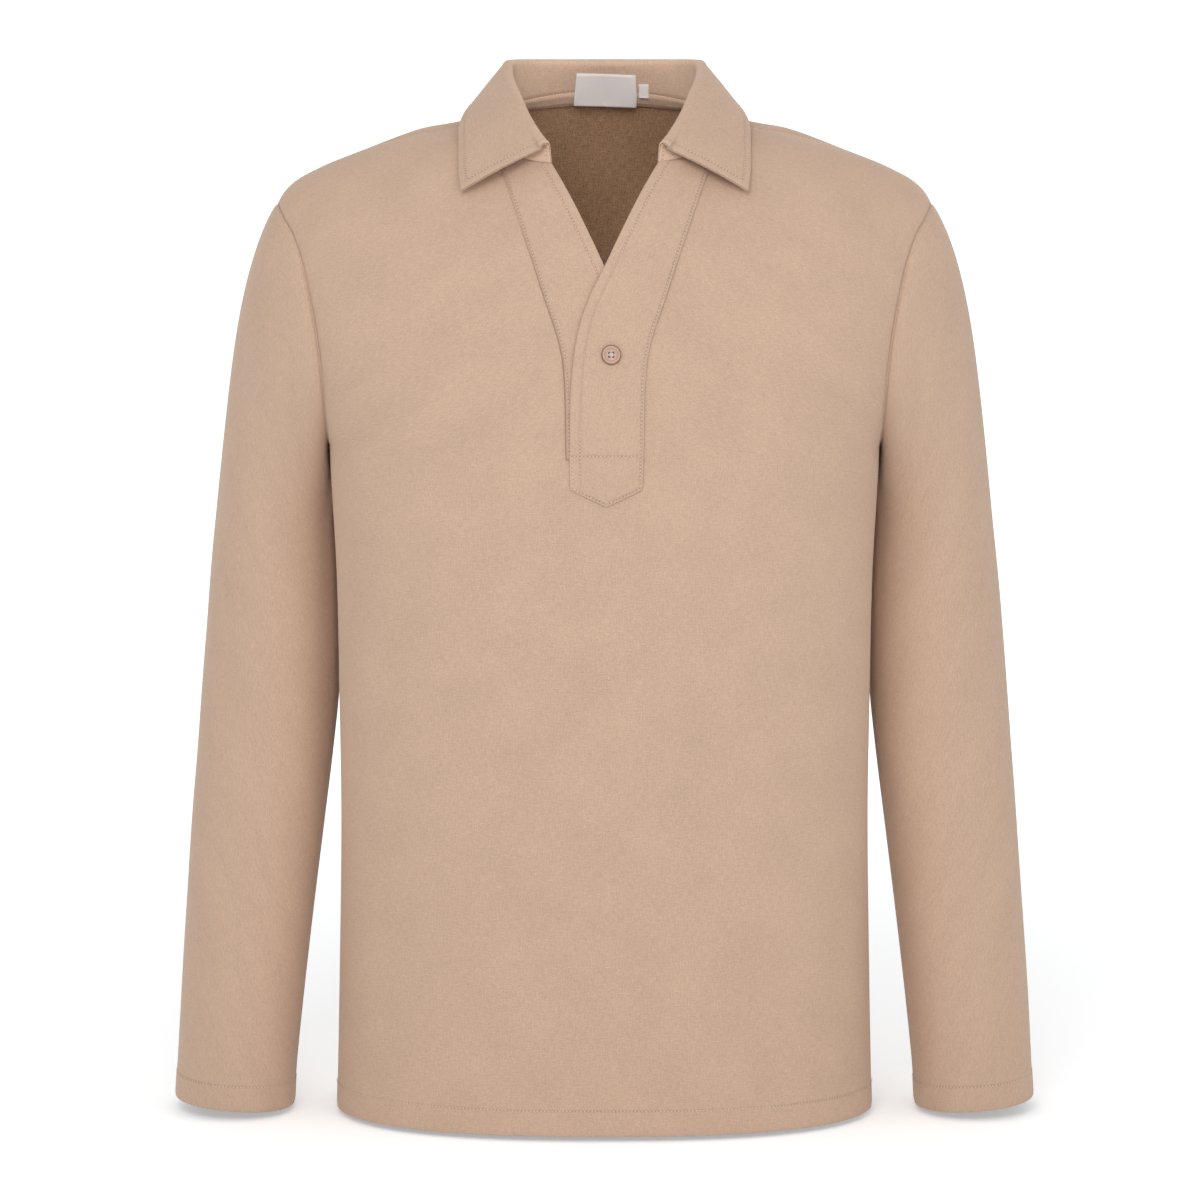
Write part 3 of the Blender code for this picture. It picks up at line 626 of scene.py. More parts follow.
def weave_group():
    """Plain weave: warp and weft threads, uneven in thickness, on coordinates in metres."""
    group, is_new = new_group(
        "Plain weave",
        (
            ("Vector", "NodeSocketVector", None),
            ("Pitch", "NodeSocketFloat", 0.00055),
        ),
        (("Height", "NodeSocketFloat"), ("Slub", "NodeSocketFloat"), ("Mottle", "NodeSocketFloat")),
    )
    if not is_new:
        return group
    entry = add_node(group, "NodeGroupInput")
    leave = add_node(group, "NodeGroupOutput")
    place = entry.outputs["Vector"]
    bend = add_node(group, "ShaderNodeTexNoise", {"Vector": place, "Scale": 220.0, "Detail": 1.0})
    shift = calculate(group, "MULTIPLY", bend.outputs["Fac"], 0.0005)
    parts = add_node(group, "ShaderNodeSeparateXYZ", {0: place})
    across = calculate(group, "ADD", parts.outputs["X"], shift)
    up = calculate(group, "ADD", parts.outputs["Y"], shift)
    half_turn_u = calculate(group, "MULTIPLY", across, math.pi)
    turn_u = calculate(group, "DIVIDE", half_turn_u, entry.outputs["Pitch"])
    half_turn_v = calculate(group, "MULTIPLY", up, math.pi)
    turn_v = calculate(group, "DIVIDE", half_turn_v, entry.outputs["Pitch"])
    over = calculate(
        group, "MULTIPLY", calculate(group, "SINE", turn_u), calculate(group, "SINE", turn_v)
    )
    streaks = []
    for stretch in ((0.2, 1.0, 1.0), (1.0, 0.2, 1.0)):
        stretched = add_node(
            group, "ShaderNodeMapping", {"Vector": place, "Scale": stretch}, vector_type="POINT"
        )
        streak = add_node(
            group, "ShaderNodeTexNoise",
            {"Vector": stretched.outputs[0], "Scale": 900.0, "Detail": 2.0, "Roughness": 0.6},
        )
        streaks.append(streak.outputs["Fac"])
    grain = add_node(
        group, "ShaderNodeTexNoise", {"Vector": place, "Scale": 1500.0, "Detail": 1.0}
    )
    threads = calculate(group, "ADD", *streaks)
    flecks = calculate(group, "MULTIPLY_ADD", grain.outputs["Fac"], 2.0, threads)
    slub = calculate(group, "MULTIPLY", flecks, 1 / 4)
    mottle = add_node(
        group, "ShaderNodeTexNoise", {"Vector": place, "Scale": 24.0, "Detail": 2.0, "Roughness": 0.5}
    )
    height = calculate(group, "MULTIPLY_ADD", over, 0.25, slub)
    group.links.new(height, leave.inputs["Height"])
    group.links.new(slub, leave.inputs["Slub"])
    group.links.new(mottle.outputs["Fac"], leave.inputs["Mottle"])
    return group


def seam_group():
    """The groove that a line of stitches pulls into the cloth, and the puckers beside it. Shade is
    the painted shade that darkens the colour along the groove.
    """
    group, is_new = new_group(
        "Stitched seam",
        (("Vector", "NodeSocketVector", None), ("Distance", "NodeSocketFloat", 1.0)),
        (("Height", "NodeSocketFloat"), ("Shade", "NodeSocketFloat")),
    )
    if not is_new:
        return group
    entry = add_node(group, "NodeGroupInput")
    leave = add_node(group, "NodeGroupOutput")

    def near(width):
        share = calculate(group, "DIVIDE", entry.outputs["Distance"], width)
        square = calculate(group, "MULTIPLY", share, share)
        return calculate(group, "EXPONENT", calculate(group, "MULTIPLY", square, -1.0))

    groove = near(0.0009)
    pucker_noise = add_node(
        group, "ShaderNodeTexNoise", {"Vector": entry.outputs["Vector"], "Scale": 260.0, "Detail": 1.0}
    )
    pucker = calculate(group, "MULTIPLY", pucker_noise.outputs["Fac"], near(0.004))
    height = calculate(group, "MULTIPLY_ADD", groove, -1.0, pucker)
    group.links.new(height, leave.inputs["Height"])
    group.links.new(groove, leave.inputs["Shade"])
    return group


def cloth_material(name, colour, pitch, contrast=0.26, bump=0.00018, roughness=0.88):
    material = bpy.data.materials.new(name)
    material.use_nodes = True
    tree = material.node_tree
    shader = tree.nodes["Principled BSDF"]
    place = add_node(tree, "ShaderNodeUVMap", uv_map="Cloth").outputs["UV"]
    distances = []
    for attribute in ("seam", "cross_seam"):
        reader = add_node(tree, "ShaderNodeAttribute", attribute_name=attribute)
        distances.append(calculate(tree, "ABSOLUTE", reader.outputs["Fac"]))
    seam = calculate(tree, "MINIMUM", *distances)
    weave = add_node(tree, "ShaderNodeGroup", node_tree=weave_group())
    tree.links.new(place, weave.inputs["Vector"])
    weave.inputs["Pitch"].default_value = pitch
    stitched = add_node(tree, "ShaderNodeGroup", node_tree=seam_group())
    tree.links.new(place, stitched.inputs["Vector"])
    tree.links.new(seam, stitched.inputs["Distance"])
    shade = calculate(tree, "SUBTRACT", weave.outputs["Slub"], 0.5)
    shade = calculate(tree, "MULTIPLY_ADD", shade, contrast * 9, 0.5)
    mottle = calculate(tree, "SUBTRACT", weave.outputs["Mottle"], 0.5)
    shade = calculate(tree, "MULTIPLY_ADD", mottle, 0.30, shade)
    # Painted shade: the colour is darker along each line of stitches, in its groove
    shade = calculate(tree, "MULTIPLY_ADD", stitched.outputs["Shade"], -0.16, shade)
    dark = tuple(c * (1 - contrast) for c in colour)
    light = tuple(min(c * (1 + contrast), 1) for c in colour)
    mix = add_node(tree, "ShaderNodeMix", data_type="RGBA", clamp_factor=True)
    tree.links.new(shade, mix.inputs["Factor"])
    mix.inputs["A"].default_value = (*dark, 1)
    mix.inputs["B"].default_value = (*light, 1)
    # Painted light: the colour is scaled up by the per-point attribute, lightening the stand and the tape
    # that lie in shade inside the neck
    faded = add_node(tree, "ShaderNodeAttribute", attribute_name="faded").outputs["Fac"]
    painted_lightening = add_node(
        tree, "ShaderNodeVectorMath",
        {0: mix.outputs["Result"], "Scale": calculate(tree, "ADD", faded, 1.0)}, operation="SCALE",
    )
    tree.links.new(painted_lightening.outputs[0], shader.inputs["Base Color"])
    fine = add_node(
        tree, "ShaderNodeBump",
        {"Height": weave.outputs["Height"], "Distance": bump, "Strength": 1.0},
    )
    coarse = add_node(
        tree, "ShaderNodeBump",
        {"Height": stitched.outputs["Height"], "Distance": 0.0003, "Strength": 1.0,
         "Normal": fine.outputs["Normal"]},
    )
    tree.links.new(coarse.outputs["Normal"], shader.inputs["Normal"])
    shader.inputs["Roughness"].default_value = roughness
    shader.inputs["Sheen Weight"].default_value = 0.45
    shader.inputs["Sheen Tint"].default_value = (1.0, 0.84, 0.70, 1)
    shader.inputs["Sheen Roughness"].default_value = 0.5
    shader.inputs["Specular IOR Level"].default_value = 0.25
    return material


def thread_material(name, colour):
    material = bpy.data.materials.new(name)
    material.use_nodes = True
    tree = material.node_tree
    shader = tree.nodes["Principled BSDF"]
    place = add_node(tree, "ShaderNodeTexCoord").outputs["Object"]
    fibre = add_node(tree, "ShaderNodeTexNoise", {"Vector": place, "Scale": 2500.0, "Detail": 1.0})
    mix = add_node(tree, "ShaderNodeMix", {"Factor": fibre.outputs["Fac"]}, data_type="RGBA")
    mix.inputs["A"].default_value = (*(c * 0.82 for c in colour), 1)
    mix.inputs["B"].default_value = (*(min(c * 1.12, 1) for c in colour), 1)
    tree.links.new(mix.outputs["Result"], shader.inputs["Base Color"])
    shader.inputs["Roughness"].default_value = 0.62
    return material


def shared_material(name, make):
    return bpy.data.materials.get(name) or make(name)


def shell_cloth():
    cloth = bpy.context.scene.shirt_cloth
    return shared_material(
        "Linen cloth", lambda name: cloth_material(name, cloth.cloth_colour, cloth.weave_pitch)
    )


# The inner faces: painted shade in a darker, warmer copy of the cloth's colour, with a coarser weave
def shaded_inside_cloth():
    cloth = bpy.context.scene.shirt_cloth
    return shared_material(
        "Linen cloth inside",
        lambda name: cloth_material(name, cloth.inside_shade_colour, 2.2 * cloth.weave_pitch, 0.44, 0.0004),
    )


def label_cloth():
    cloth = bpy.context.scene.shirt_cloth
    return shared_material(
        "Label satin",
        lambda name: cloth_material(name, cloth.label_colour, 0.0003, 0.05, 0.00005, 0.5),
    )


# Painted shade: the dark material of the dots between stitches
def needle_shade_material():
    cloth = bpy.context.scene.shirt_cloth
    return shared_material("Needle hole", lambda name: thread_material(name, cloth.painted_shade_colour))


# Painted shade: a much darker copy of the dots' colour, for the beads in the button's holes
def button_hole_shade_material():
    colour = tuple(c * 0.3 for c in bpy.context.scene.shirt_cloth.painted_shade_colour)
    return shared_material("Button hole depth", lambda name: thread_material(name, colour))


def pale_thread():
    cloth = bpy.context.scene.shirt_cloth
    return shared_material("Button thread", lambda name: thread_material(name, cloth.label_colour))


def sewing_thread():
    cloth = bpy.context.scene.shirt_cloth
    return shared_material("Sewing thread", lambda name: thread_material(name, cloth.thread_colour))


# Front and back

Column = namedtuple("Column", "side share")
Row = namedtuple("Row", "z risen inset run")

MIDDLE = 0


def spread_to_side(count):
    """Shares from the middle to the side, closer together where the body turns the corner."""
    first = 0.14
    reached = [
        math.sin(math.pi / 2 * (first + (1 - first) * i / count)) ** (2 / BODY_FULLNESS)
        for i in range(count + 1)
    ]
    shares = [(r - reached[0]) / (reached[-1] - reached[0]) for r in reached]
    inner = [0.0, 0.004, 0.010, 0.020]
    outer = [0.980, 0.990, 0.9955, 1.0]
    return inner + [s for s in shares if 0.03 < s < 0.97] + outer


def body_rows():
    """From inside the turned hem, round its edge and up to the shoulder seam."""
    depth = bpy.context.scene.shirt_cloth.hem_depth
    rows = [Row(HEM_Z + t.run, None, t.inset, t.run) for t in turned_edge(depth)]
    runs = runs_above(depth, UNDERARM_Z - HEM_Z - 0.004, 0.0095)
    rows += [Row(HEM_Z + run, None, 0.0, run) for run in runs]
    angles = 34
    heights = [armhole_z(math.pi * (1 - i / angles)) for i in range(angles + 1)]
    risen = [(z - UNDERARM_Z) / (SHOULDER_TIP.z - UNDERARM_Z) for z in heights]
    domes = [0.30, 0.24, 0.19, 0.15, 0.12, 0.09, 0.065, 0.045, 0.03, 0.02, 0.012, 0.006, 0.0]
    tops = [(1 - d**DOME_FULLNESS) ** (1 / DOME_FULLNESS) for d in domes]
    risen = [r for r in risen if r < tops[0] - 0.004] + tops
    rows += [Row(None, r, 0.0, 1.0) for r in risen]
    return rows


def panel_place(inner_at, face, share, row):
    """x and z of a place on half a panel, and its distance to the panel's outer edge."""
    if row.risen is None:
        edge = body_half_width(row.z, face)
        inner = inner_at(row.z)
        return inner + (edge - inner) * share, row.z, (edge - inner) * (1 - share)
    top_inner = settled(inner_at)
    top_z = shoulder_z(top_inner + (SHOULDER_TIP.x - top_inner) * share)
    edge = armhole_curve[face](UNDERARM_Z + (SHOULDER_TIP.z - UNDERARM_Z) * row.risen)
    inner = inner_at(UNDERARM_Z + (shoulder_z(top_inner) - UNDERARM_Z) * row.risen)
    z = UNDERARM_Z + (top_z - UNDERARM_Z) * row.risen
    return inner + (edge - inner) * share, z, (edge - inner) * (1 - share)


@lru_cache(maxsize=None)
def settled(inner_at):
    """Where an inner column meets the shoulder seam."""
    x = inner_at(SHOULDER_TIP.z)
    for _ in range(8):
        x = inner_at(shoulder_z(x))
    return x


def placket_seam_x(z):
    if z < SLOT_BOTTOM_Z:
        return band_seam_curve(SLOT_BOTTOM_Z) + 0.03 * (SLOT_BOTTOM_Z - z)
    return band_seam_curve(z)


def placket_seam_left_x(z):
    return placket_seam_x(z) - SLOT_HIDDEN


def neck_side_x(z):
    """The back's half panels start at the neck's side at every height."""
    return NECK_SIDE_X


def body_lift(x, z, face, row, to_side, to_top):
    """How far the cloth stands off the body's surface."""
    lift = -row.inset
    if row.inset == 0 and row.run < 0.04:
        lift += hem_fullness(row.run, bpy.context.scene.shirt_cloth.hem_depth)
    lift -= pulled_in(to_side)
    lift -= pulled_in(to_top)
    calm = fade(0.0, 0.03, to_side) * fade(0.0, 0.05, to_top) * fade(0.0, 0.04, z - HEM_Z)
    lift += BODY_RIPPLE.height * calm * ripple(x, 0.6 * face, 0.55 * z, BODY_RIPPLE.size)
    return lift


def to_shoulder(x, z, top_z, face):
    if top_z - z > 0.05:
        return 1.0
    reach = abs(body_point(x, z, face).y - side_y_curve(z))
    return math.hypot(reach, top_z - z)


def front_place(column, row):
    if column.side == MIDDLE:
        z = row.z if row.risen is None else UNDERARM_Z
        right, left = -placket_seam_x(z), placket_seam_left_x(z)
        x = right + (left - right) * column.share
        to_side = 1.0
        top_z = 1.0
    else:
        inner_at = placket_seam_x if column.side == RIGHT else placket_seam_left_x
        x, z, to_side = panel_place(inner_at, FRONT, column.share, row)
        x *= column.side
        top_z = shoulder_z(x)
    to_top = to_shoulder(x, z, top_z, FRONT)
    lift = body_lift(x, z, FRONT, row, to_side, to_top)
    if column.side == RIGHT and z > SLOT_BOTTOM_Z:
        lift -= pulled_in(abs(x) - placket_seam_x(z))
    point = off_body(x, z, FRONT, lift)
    if row.risen == 1:
        point.y = -0.00002
    return point


def hem_seam(column, row):
    """Distance to the hem's line of stitches."""
    if row.inset:
        return 1.0
    return row.run - bpy.context.scene.shirt_cloth.hem_depth


def make_front():
    shares = spread_to_side(40)
    columns = [Column(RIGHT, s) for s in reversed(shares)]
    columns += [Column(MIDDLE, i / 10) for i in range(1, 10)]
    columns += [Column(LEFT, s) for s in shares]
    rows = body_rows()

    def is_slot(i, j):
        beside = columns[i].side == MIDDLE or columns[i].share == 0
        return beside and rows[j].risen is not None

    sheet = new_cloth(columns, rows, front_place, hem_seam, is_open=is_slot)
    add_sheet(
        "front_panel", sheet, shell_cloth(), ("front",), (0.60, 0.84), inner=shaded_inside_cloth(),
        rests_on=["back_panel"],
    )


def neck_back_z(x):
    side = shoulder_z(NECK_SIDE_X)
    return side + (NECK_BACK_Z - side) * (1 - (min(abs(x), NECK_SIDE_X) / NECK_SIDE_X) ** 2)


def back_place(column, row):
    side = column.side
    if column.share < 0:
        x = side * NECK_SIDE_X * math.sin(math.pi / 2 * (1 + column.share))
        top = neck_back_z(x)
        z = row.z if row.risen is None else UNDERARM_Z + (top - UNDERARM_Z) * row.risen
        lift = body_lift(x, z, BACK, row, 1.0, 1.0)
        return off_body(x, z, BACK, lift)
    x, z, to_side = panel_place(neck_side_x, BACK, column.share, row)
    x *= side
    to_top = to_shoulder(x, z, shoulder_z(x), BACK)
    point = off_body(x, z, BACK, body_lift(x, z, BACK, row, to_side, to_top))
    if row.risen == 1:
        point.y = 0.00002
    return point


def make_back():
    shares = spread_to_side(36)
    neck = [-1 + i / 16 for i in range(16)]
    left = [Column(LEFT, s) for s in neck + shares]
    right = [Column(RIGHT, s) for s in neck[1:] + shares]
    columns = right[::-1] + left
    sheet = new_cloth(columns, body_rows(), back_place, hem_seam)
    add_sheet(
        "back_panel", sheet, shell_cloth(), ("back",), (0.60, 0.86), flip=True,
        inner=shaded_inside_cloth(),
    )


# Sleeves

SleeveRow = namedtuple("SleeveRow", "share z inset run")
TUCK = SleeveRow(-1, None, 0.0, 1.0)  # the seam allowance, under the body's edge


def sleeve_section(z, angle):
    """A point round the left sleeve below its cap."""
    inner, outer = sleeve_curve["inner_x"](z), sleeve_curve["outer_x"](z)
    centre_y, depth = sleeve_curve["centre_y"](z), sleeve_curve["half_depth"](z)
    reach_x = signed_power(math.cos(angle), 2 / SLEEVE_FULLNESS)
    reach_y = signed_power(math.sin(angle), 2 / SLEEVE_FULLNESS)
    off_middle = (outer - inner) / 2 * reach_x
    tilt = CUFF_TILT * (1 - fade(CUFF_Z, CUFF_TILT_FROM, z))
    x = (inner + outer) / 2 + off_middle
    return Vector((x, centre_y - depth * reach_y, z + tilt * off_middle))


def sleeve_cap(share, angle):
    """A point between the armhole's seam and the sleeve's first level."""
    seam = armhole_point(angle)
    level = sleeve_section(SLEEVE_TOP_Z, angle)
    under = ((1 - math.cos(angle)) / 2) ** 3
    # the cloth leaves the seam outwards and down, and more steeply under the arm
    leave = Vector((0.62 - 0.44 * under, 0.35 * under - 0.3 * math.sin(angle), -0.84))
    leave.normalize()
    arrive = Vector((0.10, 0, -0.99))
    seam += leave * SEAM_GAP / 2
    reach = (level - seam).length
    return blend(share, seam, level, leave * reach * CAP_EASE, arrive * reach)


def sleeve_point(row, angle):
    if row.share < 1:
        return sleeve_cap(row.share, angle)
    return sleeve_section(row.z, angle)


def sleeve_normal(row, angle):
    turn = 0.01
    around = sleeve_point(row, angle + turn) - sleeve_point(row, angle - turn)
    if row.share < 1:
        above = row._replace(share=max(row.share - 0.01, 0))
        below = row._replace(share=row.share + 0.01)
        if below.share >= 1:
            below = row
    else:
        above = row._replace(z=min(row.z + 0.002, SLEEVE_TOP_Z))
        below = row._replace(z=row.z - 0.002)
    down = sleeve_point(below, angle) - sleeve_point(above, angle)
    return around.cross(down).normalized()


def tucked_point(angle, side):
    """A point of the sleeve's seam allowance, inside the body."""
    face = FRONT if math.sin(angle) >= 0 else BACK
    inner_at = placket_seam_left_x if face == FRONT else neck_side_x
    risen = (armhole_z(angle) - UNDERARM_Z) / (SHOULDER_TIP.z - UNDERARM_Z)
    x, z, _ = panel_place(inner_at, face, TUCK_SHARE, Row(None, risen, 0.0, 1.0))
    return off_body(side * x, z, face, -TUCK_DEPTH)


def sleeve_rows():
    depth = bpy.context.scene.shirt_cloth.hem_depth
    shares = [0, 0.004, 0.010, 0.020, 0.035] + [0.06 + 0.94 * i / 24 for i in range(24)]
    rows = [TUCK] + [SleeveRow(s, SLEEVE_TOP_Z, 0.0, 1.0) for s in shares]
    length = SLEEVE_TOP_Z - CUFF_Z
    runs = runs_above(depth, length, 0.0090) + [length]
    rows += [SleeveRow(1, CUFF_Z + run, 0.0, run) for run in reversed(runs)]
    rows += [SleeveRow(1, CUFF_Z + t.run, t.inset, t.run) for t in reversed(turned_edge(depth))]
    return rows


def make_sleeve(name, node, side):
    depth = bpy.context.scene.shirt_cloth.hem_depth
    steps = 76
    angles = [math.pi + 2 * math.pi * i / steps for i in range(steps + 1)]
    extra = [angles[0] + 0.012, angles[0] + 0.03, angles[-1] - 0.03, angles[-1] - 0.012]
    angles = sorted(angles + extra)

    def place(angle, row):
        if row is TUCK:
            return tucked_point(angle, side)
        point = sleeve_point(row, angle)
        to_seam = min(angle - angles[0], angles[-1] - angle) * SLEEVE_RADIUS
        to_armhole = row.share * CAP_LENGTH if row.share < 1 else 1.0
        lift = -row.inset - pulled_in(to_seam) * 0.7 - pulled_in(to_armhole) * 1.8
        if row.inset == 0:
            lift += hem_fullness(row.run, depth)
        calm = fade(0.0, 0.03, to_armhole) * fade(0.0, 0.05, point.z - CUFF_Z)
        calm *= fade(0.0, 0.02, to_seam)
        wave = ripple(point.x + side, point.y, 0.6 * point.z, SLEEVE_RIPPLE.size)
        lift += SLEEVE_RIPPLE.height * calm * wave
        point += sleeve_normal(row, angle) * lift
        point.x *= side
        return point

    def seam(angle, row):
        return row.run - depth if row.inset == 0 else 1.0

    sheet = new_cloth(angles, sleeve_rows(), place, seam)
    add_sheet(
        name, sheet, shell_cloth(), (node,), (0.40, 0.70), flip=side < 0, inner=shaded_inside_cloth(),
        rests_on=["front_panel"],
    )


# Placket

BandColumn = namedtuple("BandColumn", "run inset share")
BandRow = namedtuple("BandRow", "z kind")


def band_columns():
    """Across a band, from inside its folded edge to its seam."""
    columns = [BandColumn(t.run, t.inset, 0.0) for t in turned_edge(BAND_TURN)]
    columns += [BandColumn(run, 0.0, 0.0) for run in (0.0015, 0.003, 0.005, BAND_STITCH)]
    columns.append(BandColumn(SPREAD_FROM, 0.0, 0.0))
    count = 20
    columns += [BandColumn(SPREAD_FROM, 0.0, i / count) for i in range(1, count)]
    columns += [BandColumn(SPREAD_FROM, 0.0, s) for s in (0.975, 0.99, 1.0)]
    return columns


def band_inner_x(z, hidden_edge):
    if z > V_CORNER_Z:
        return neck_x_at_height(z)
    return max(band_edge_curve(z), -hidden_edge)


def band_x(column, z, hidden_edge, seam_gap):
    inner = band_inner_x(z, hidden_edge)
    outer = band_seam_curve(z) - seam_gap
    return inner + column.run + (outer - inner - column.run) * column.share


def band_heights():
    """Heights from the slot's end to the shoulder seam."""
    heights = []
    z = SLOT_BOTTOM_Z
    while z < V_CORNER_Z - 0.003:
        heights.append(z)
        z += 0.0042
    heights.append(V_CORNER_Z)
    heights += [V_CORNER_Z + (NECK_FRONT[0].z - V_CORNER_Z) * s for s in (0.02, 0.06, 0.12)]
    heights += [V_CORNER_Z + (NECK_FRONT[0].z - V_CORNER_Z) * (0.2 + 0.1 * i) for i in range(7)]
    return heights


def tab_low(x):
    half = (BANDS[0].seam_x - BANDS[0].edge_x) / 2
    return TAB_POINT[1] + TAB_RISE * abs(x - TAB_POINT[0]) / half


def tab_place(column, row):
    """x and z of a place on the over band's pointed end."""
    low = tab_low(band_x(column, BANDS[0].z, 1, 0))
    z = low + (SLOT_BOTTOM_Z - low) * row.z
    return band_x(column, max(z, BANDS[0].z), 1, 0), z


def band_place(side, hidden_edge, seam_gap, lift_of):
    top_x = settled(placket_seam_x)

    def place(column, row):
        if row.kind == "shoulder":
            inner = NECK_SIDE_X
            x = inner + column.run + (top_x - seam_gap - inner - column.run) * column.share
            z = shoulder_z(x)
        elif row.kind == "tab":
            x, z = tab_place(column, row)
        else:
            z = row.z
            x = band_x(column, z, hidden_edge, seam_gap)
        lift = lift_of(column, row, x, z) - column.inset
        point = off_body(side * x, z, FRONT, lift)
        if row.kind == "shoulder":
            point = body_point(side * x, z, FRONT)
            point.y = -0.0001
            point.z += lift
        return point

    return place


def over_band_seam(column, row):
    """Distance to the nearest line of stitches on the over band."""
    if column.inset or row.kind == "shoulder":
        return 1.0
    x, z = tab_place(column, row) if row.kind == "tab" else (band_x(column, row.z, 1, 0), row.z)
    distances = [band_seam_curve(z) - EDGE_STITCH - x, x - band_inner_x(z, 1) - BAND_STITCH]
    if z < SLOT_BOTTOM_Z:
        distances.append(z - tab_low(x) - EDGE_STITCH)
    return min(distances)


def box_stitch(column, row):
    """Height over the line of stitches that closes the tab's box."""
    if column.inset or row.kind == "shoulder":
        return 1.0
    z = row.z if row.kind == "level" else tab_place(column, row)[1]
    return z - BOX_STITCH_Z


def under_band_seam(column, row):
    if column.inset or row.kind == "shoulder":
        return 1.0
    x = band_x(column, row.z, UNDER_BAND_HIDDEN_EDGE, UNDER_BAND_GAP)
    to_seam = band_seam_curve(row.z) - EDGE_STITCH - x
    return min(to_seam, x - band_inner_x(row.z, UNDER_BAND_HIDDEN_EDGE) - BAND_STITCH)


def make_placket():
    heights = band_heights()
    rows = [BandRow(z, "level") for z in heights] + [BandRow(None, "shoulder")]
    tab_shares = [0.0, 0.02, 0.05, 0.09, 0.15] + [0.15 + 0.85 * i / 9 for i in range(1, 9)]
    tab_rows = [BandRow(s, "tab") for s in tab_shares]

    def over_lift(column, row, x, z):
        if row.kind == "shoulder":
            return OVER_BAND_LIFT_AT_SHOULDER
        lift = OVER_BAND_LIFT - BAND_ROLL * pulled_in(band_seam_curve(z) - x)
        if row.kind == "tab":
            lift -= BAND_ROLL * pulled_in((z - tab_low(x)) * 0.9)
        if z > V_CORNER_Z:
            lift -= COLLAR_PRESS * fade(V_CORNER_Z, COLLAR_COVERS_Z, z)
        loose = fade(*GAPE_OPENS, z) * (1 - fade(*GAPE_CLOSES, z))
        near_edge = 1 - fade(0.0, GAPE_WIDTH, x - band_inner_x(z, 1))
        return lift + GAPE * loose * near_edge

    def under_lift(column, row, x, z):
        if column.share > 1 or z < SLOT_BOTTOM_Z:
            return -TUCK_DEPTH
        if row.kind == "shoulder":
            return -SEAM_ROLL
        return -1.8 * pulled_in(band_seam_curve(z) - x)

    place = band_place(LEFT, 1, 0, over_lift)
    sheet = new_cloth(band_columns(), tab_rows + rows, place, over_band_seam, box_stitch)
    add_sheet(
        "over_band", sheet, shell_cloth(), ("placket_over",), (0.085, 0.31),
        rests_on=["front_panel"],
    )
    place = band_place(RIGHT, UNDER_BAND_HIDDEN_EDGE, UNDER_BAND_GAP, under_lift)
    allowance = [BandColumn(SPREAD_FROM, 0.0, 1.07)]
    tucked_end = [BandRow(SLOT_BOTTOM_Z + rise, "level") for rise in (-0.004, 0.0004)]
    sheet = new_cloth(band_columns() + allowance, tucked_end + rows[1:], place, under_band_seam)
    add_sheet(
        "under_band", sheet, shell_cloth(), ("placket_under",), (0.089, 0.285), flip=True,
        rests_on=["front_panel"],
    )


# Collar

def neck_seam(along):
    """A point of the neckline, from 0 at the middle of the back to 1 at the front end."""
    if along <= 0.5:
        x = NECK_SIDE_X * math.sin(math.pi * along)
        return body_point(x, neck_back_z(x), BACK)
    x = neck_x_curve(along)
    return body_point(x, min(neck_z_curve(along), shoulder_z(x)), FRONT)


def collar_at(along, field):
    return Vector([curve(along) for curve in collar_curve[field]])


def collar_line(along):
    """The middle of the collar's section: up the stand, over the fold and down the fall."""
    seam = neck_seam(along)
    fold = collar_at(along, "fold")
    edge = collar_at(along, "edge")
    foot = seam + (fold - seam).normalized() * COLLAR_FOOT_GAP
    before, after = max(along - 0.02, 0), min(along + 0.02, 1)
    run_of_fold = (collar_at(after, "fold") - collar_at(before, "fold")).normalized()
    if along == 0:
        run_of_fold = Vector((1, 0, 0))
    up = fold - seam
    up -= run_of_fold * up.dot(run_of_fold)
    up.normalize()
    outward = edge - fold
    outward -= run_of_fold * outward.dot(run_of_fold)
    outward -= up * outward.dot(up)
    outward.normalize()
    centre = fold - up * FOLD_RADIUS
    top = centre - outward * FOLD_RADIUS
    line = [foot + (top - foot) * i / STAND_STEPS for i in range(STAND_STEPS)]
    for i in range(FOLD_STEPS + 1):
        turn = math.pi * i / FOLD_STEPS
        line.append(centre + FOLD_RADIUS * (up * math.sin(turn) - outward * math.cos(turn)))
    start = line[-1]
    run = edge - start
    lift = (up - run.normalized() * up.dot(run.normalized())).normalized()
    shares = [i / FALL_STEPS for i in range(1, FALL_STEPS)]
    length = run.length
    shares += [1 - d / length for d in (0.0016, 0.0008, 0.0003, 0.0)]
    for share in sorted(set(s for s in shares if s <= 1)):
        bow = FALL_BOW * length * math.sin(math.pi * share)
        line.append(start + run * share + lift * bow)
    return line


def collar_stations():
    stations = [i / COLLAR_STEPS for i in range(COLLAR_STEPS)]
    stations += [0.992, 0.996, 1.0]
    return sorted(set(s for s in stations if s <= 0.987 or s > 0.99))


def collar_lines():
    """Lines from the right front end round the back to the left front end."""
    half = [collar_line(along) for along in collar_stations()]
    for point in half[0]:
        point.x = 0
    other = [[Vector((-p.x, p.y, p.z)) for p in line] for line in half[:0:-1]]
    return other + half


def line_normals(lines):
    """The way to the right hand of the lines' run, at each point."""
    normals = []
    for i, line in enumerate(lines):
        before, after = lines[max(i - 1, 0)], lines[min(i + 1, len(lines) - 1)]
        row = []
        for j in range(len(line)):
            across = after[j] - before[j]
            down = line[min(j + 1, len(line) - 1)] - line[max(j - 1, 0)]
            row.append(across.cross(down).normalized())
        normals.append(row)
    return normals


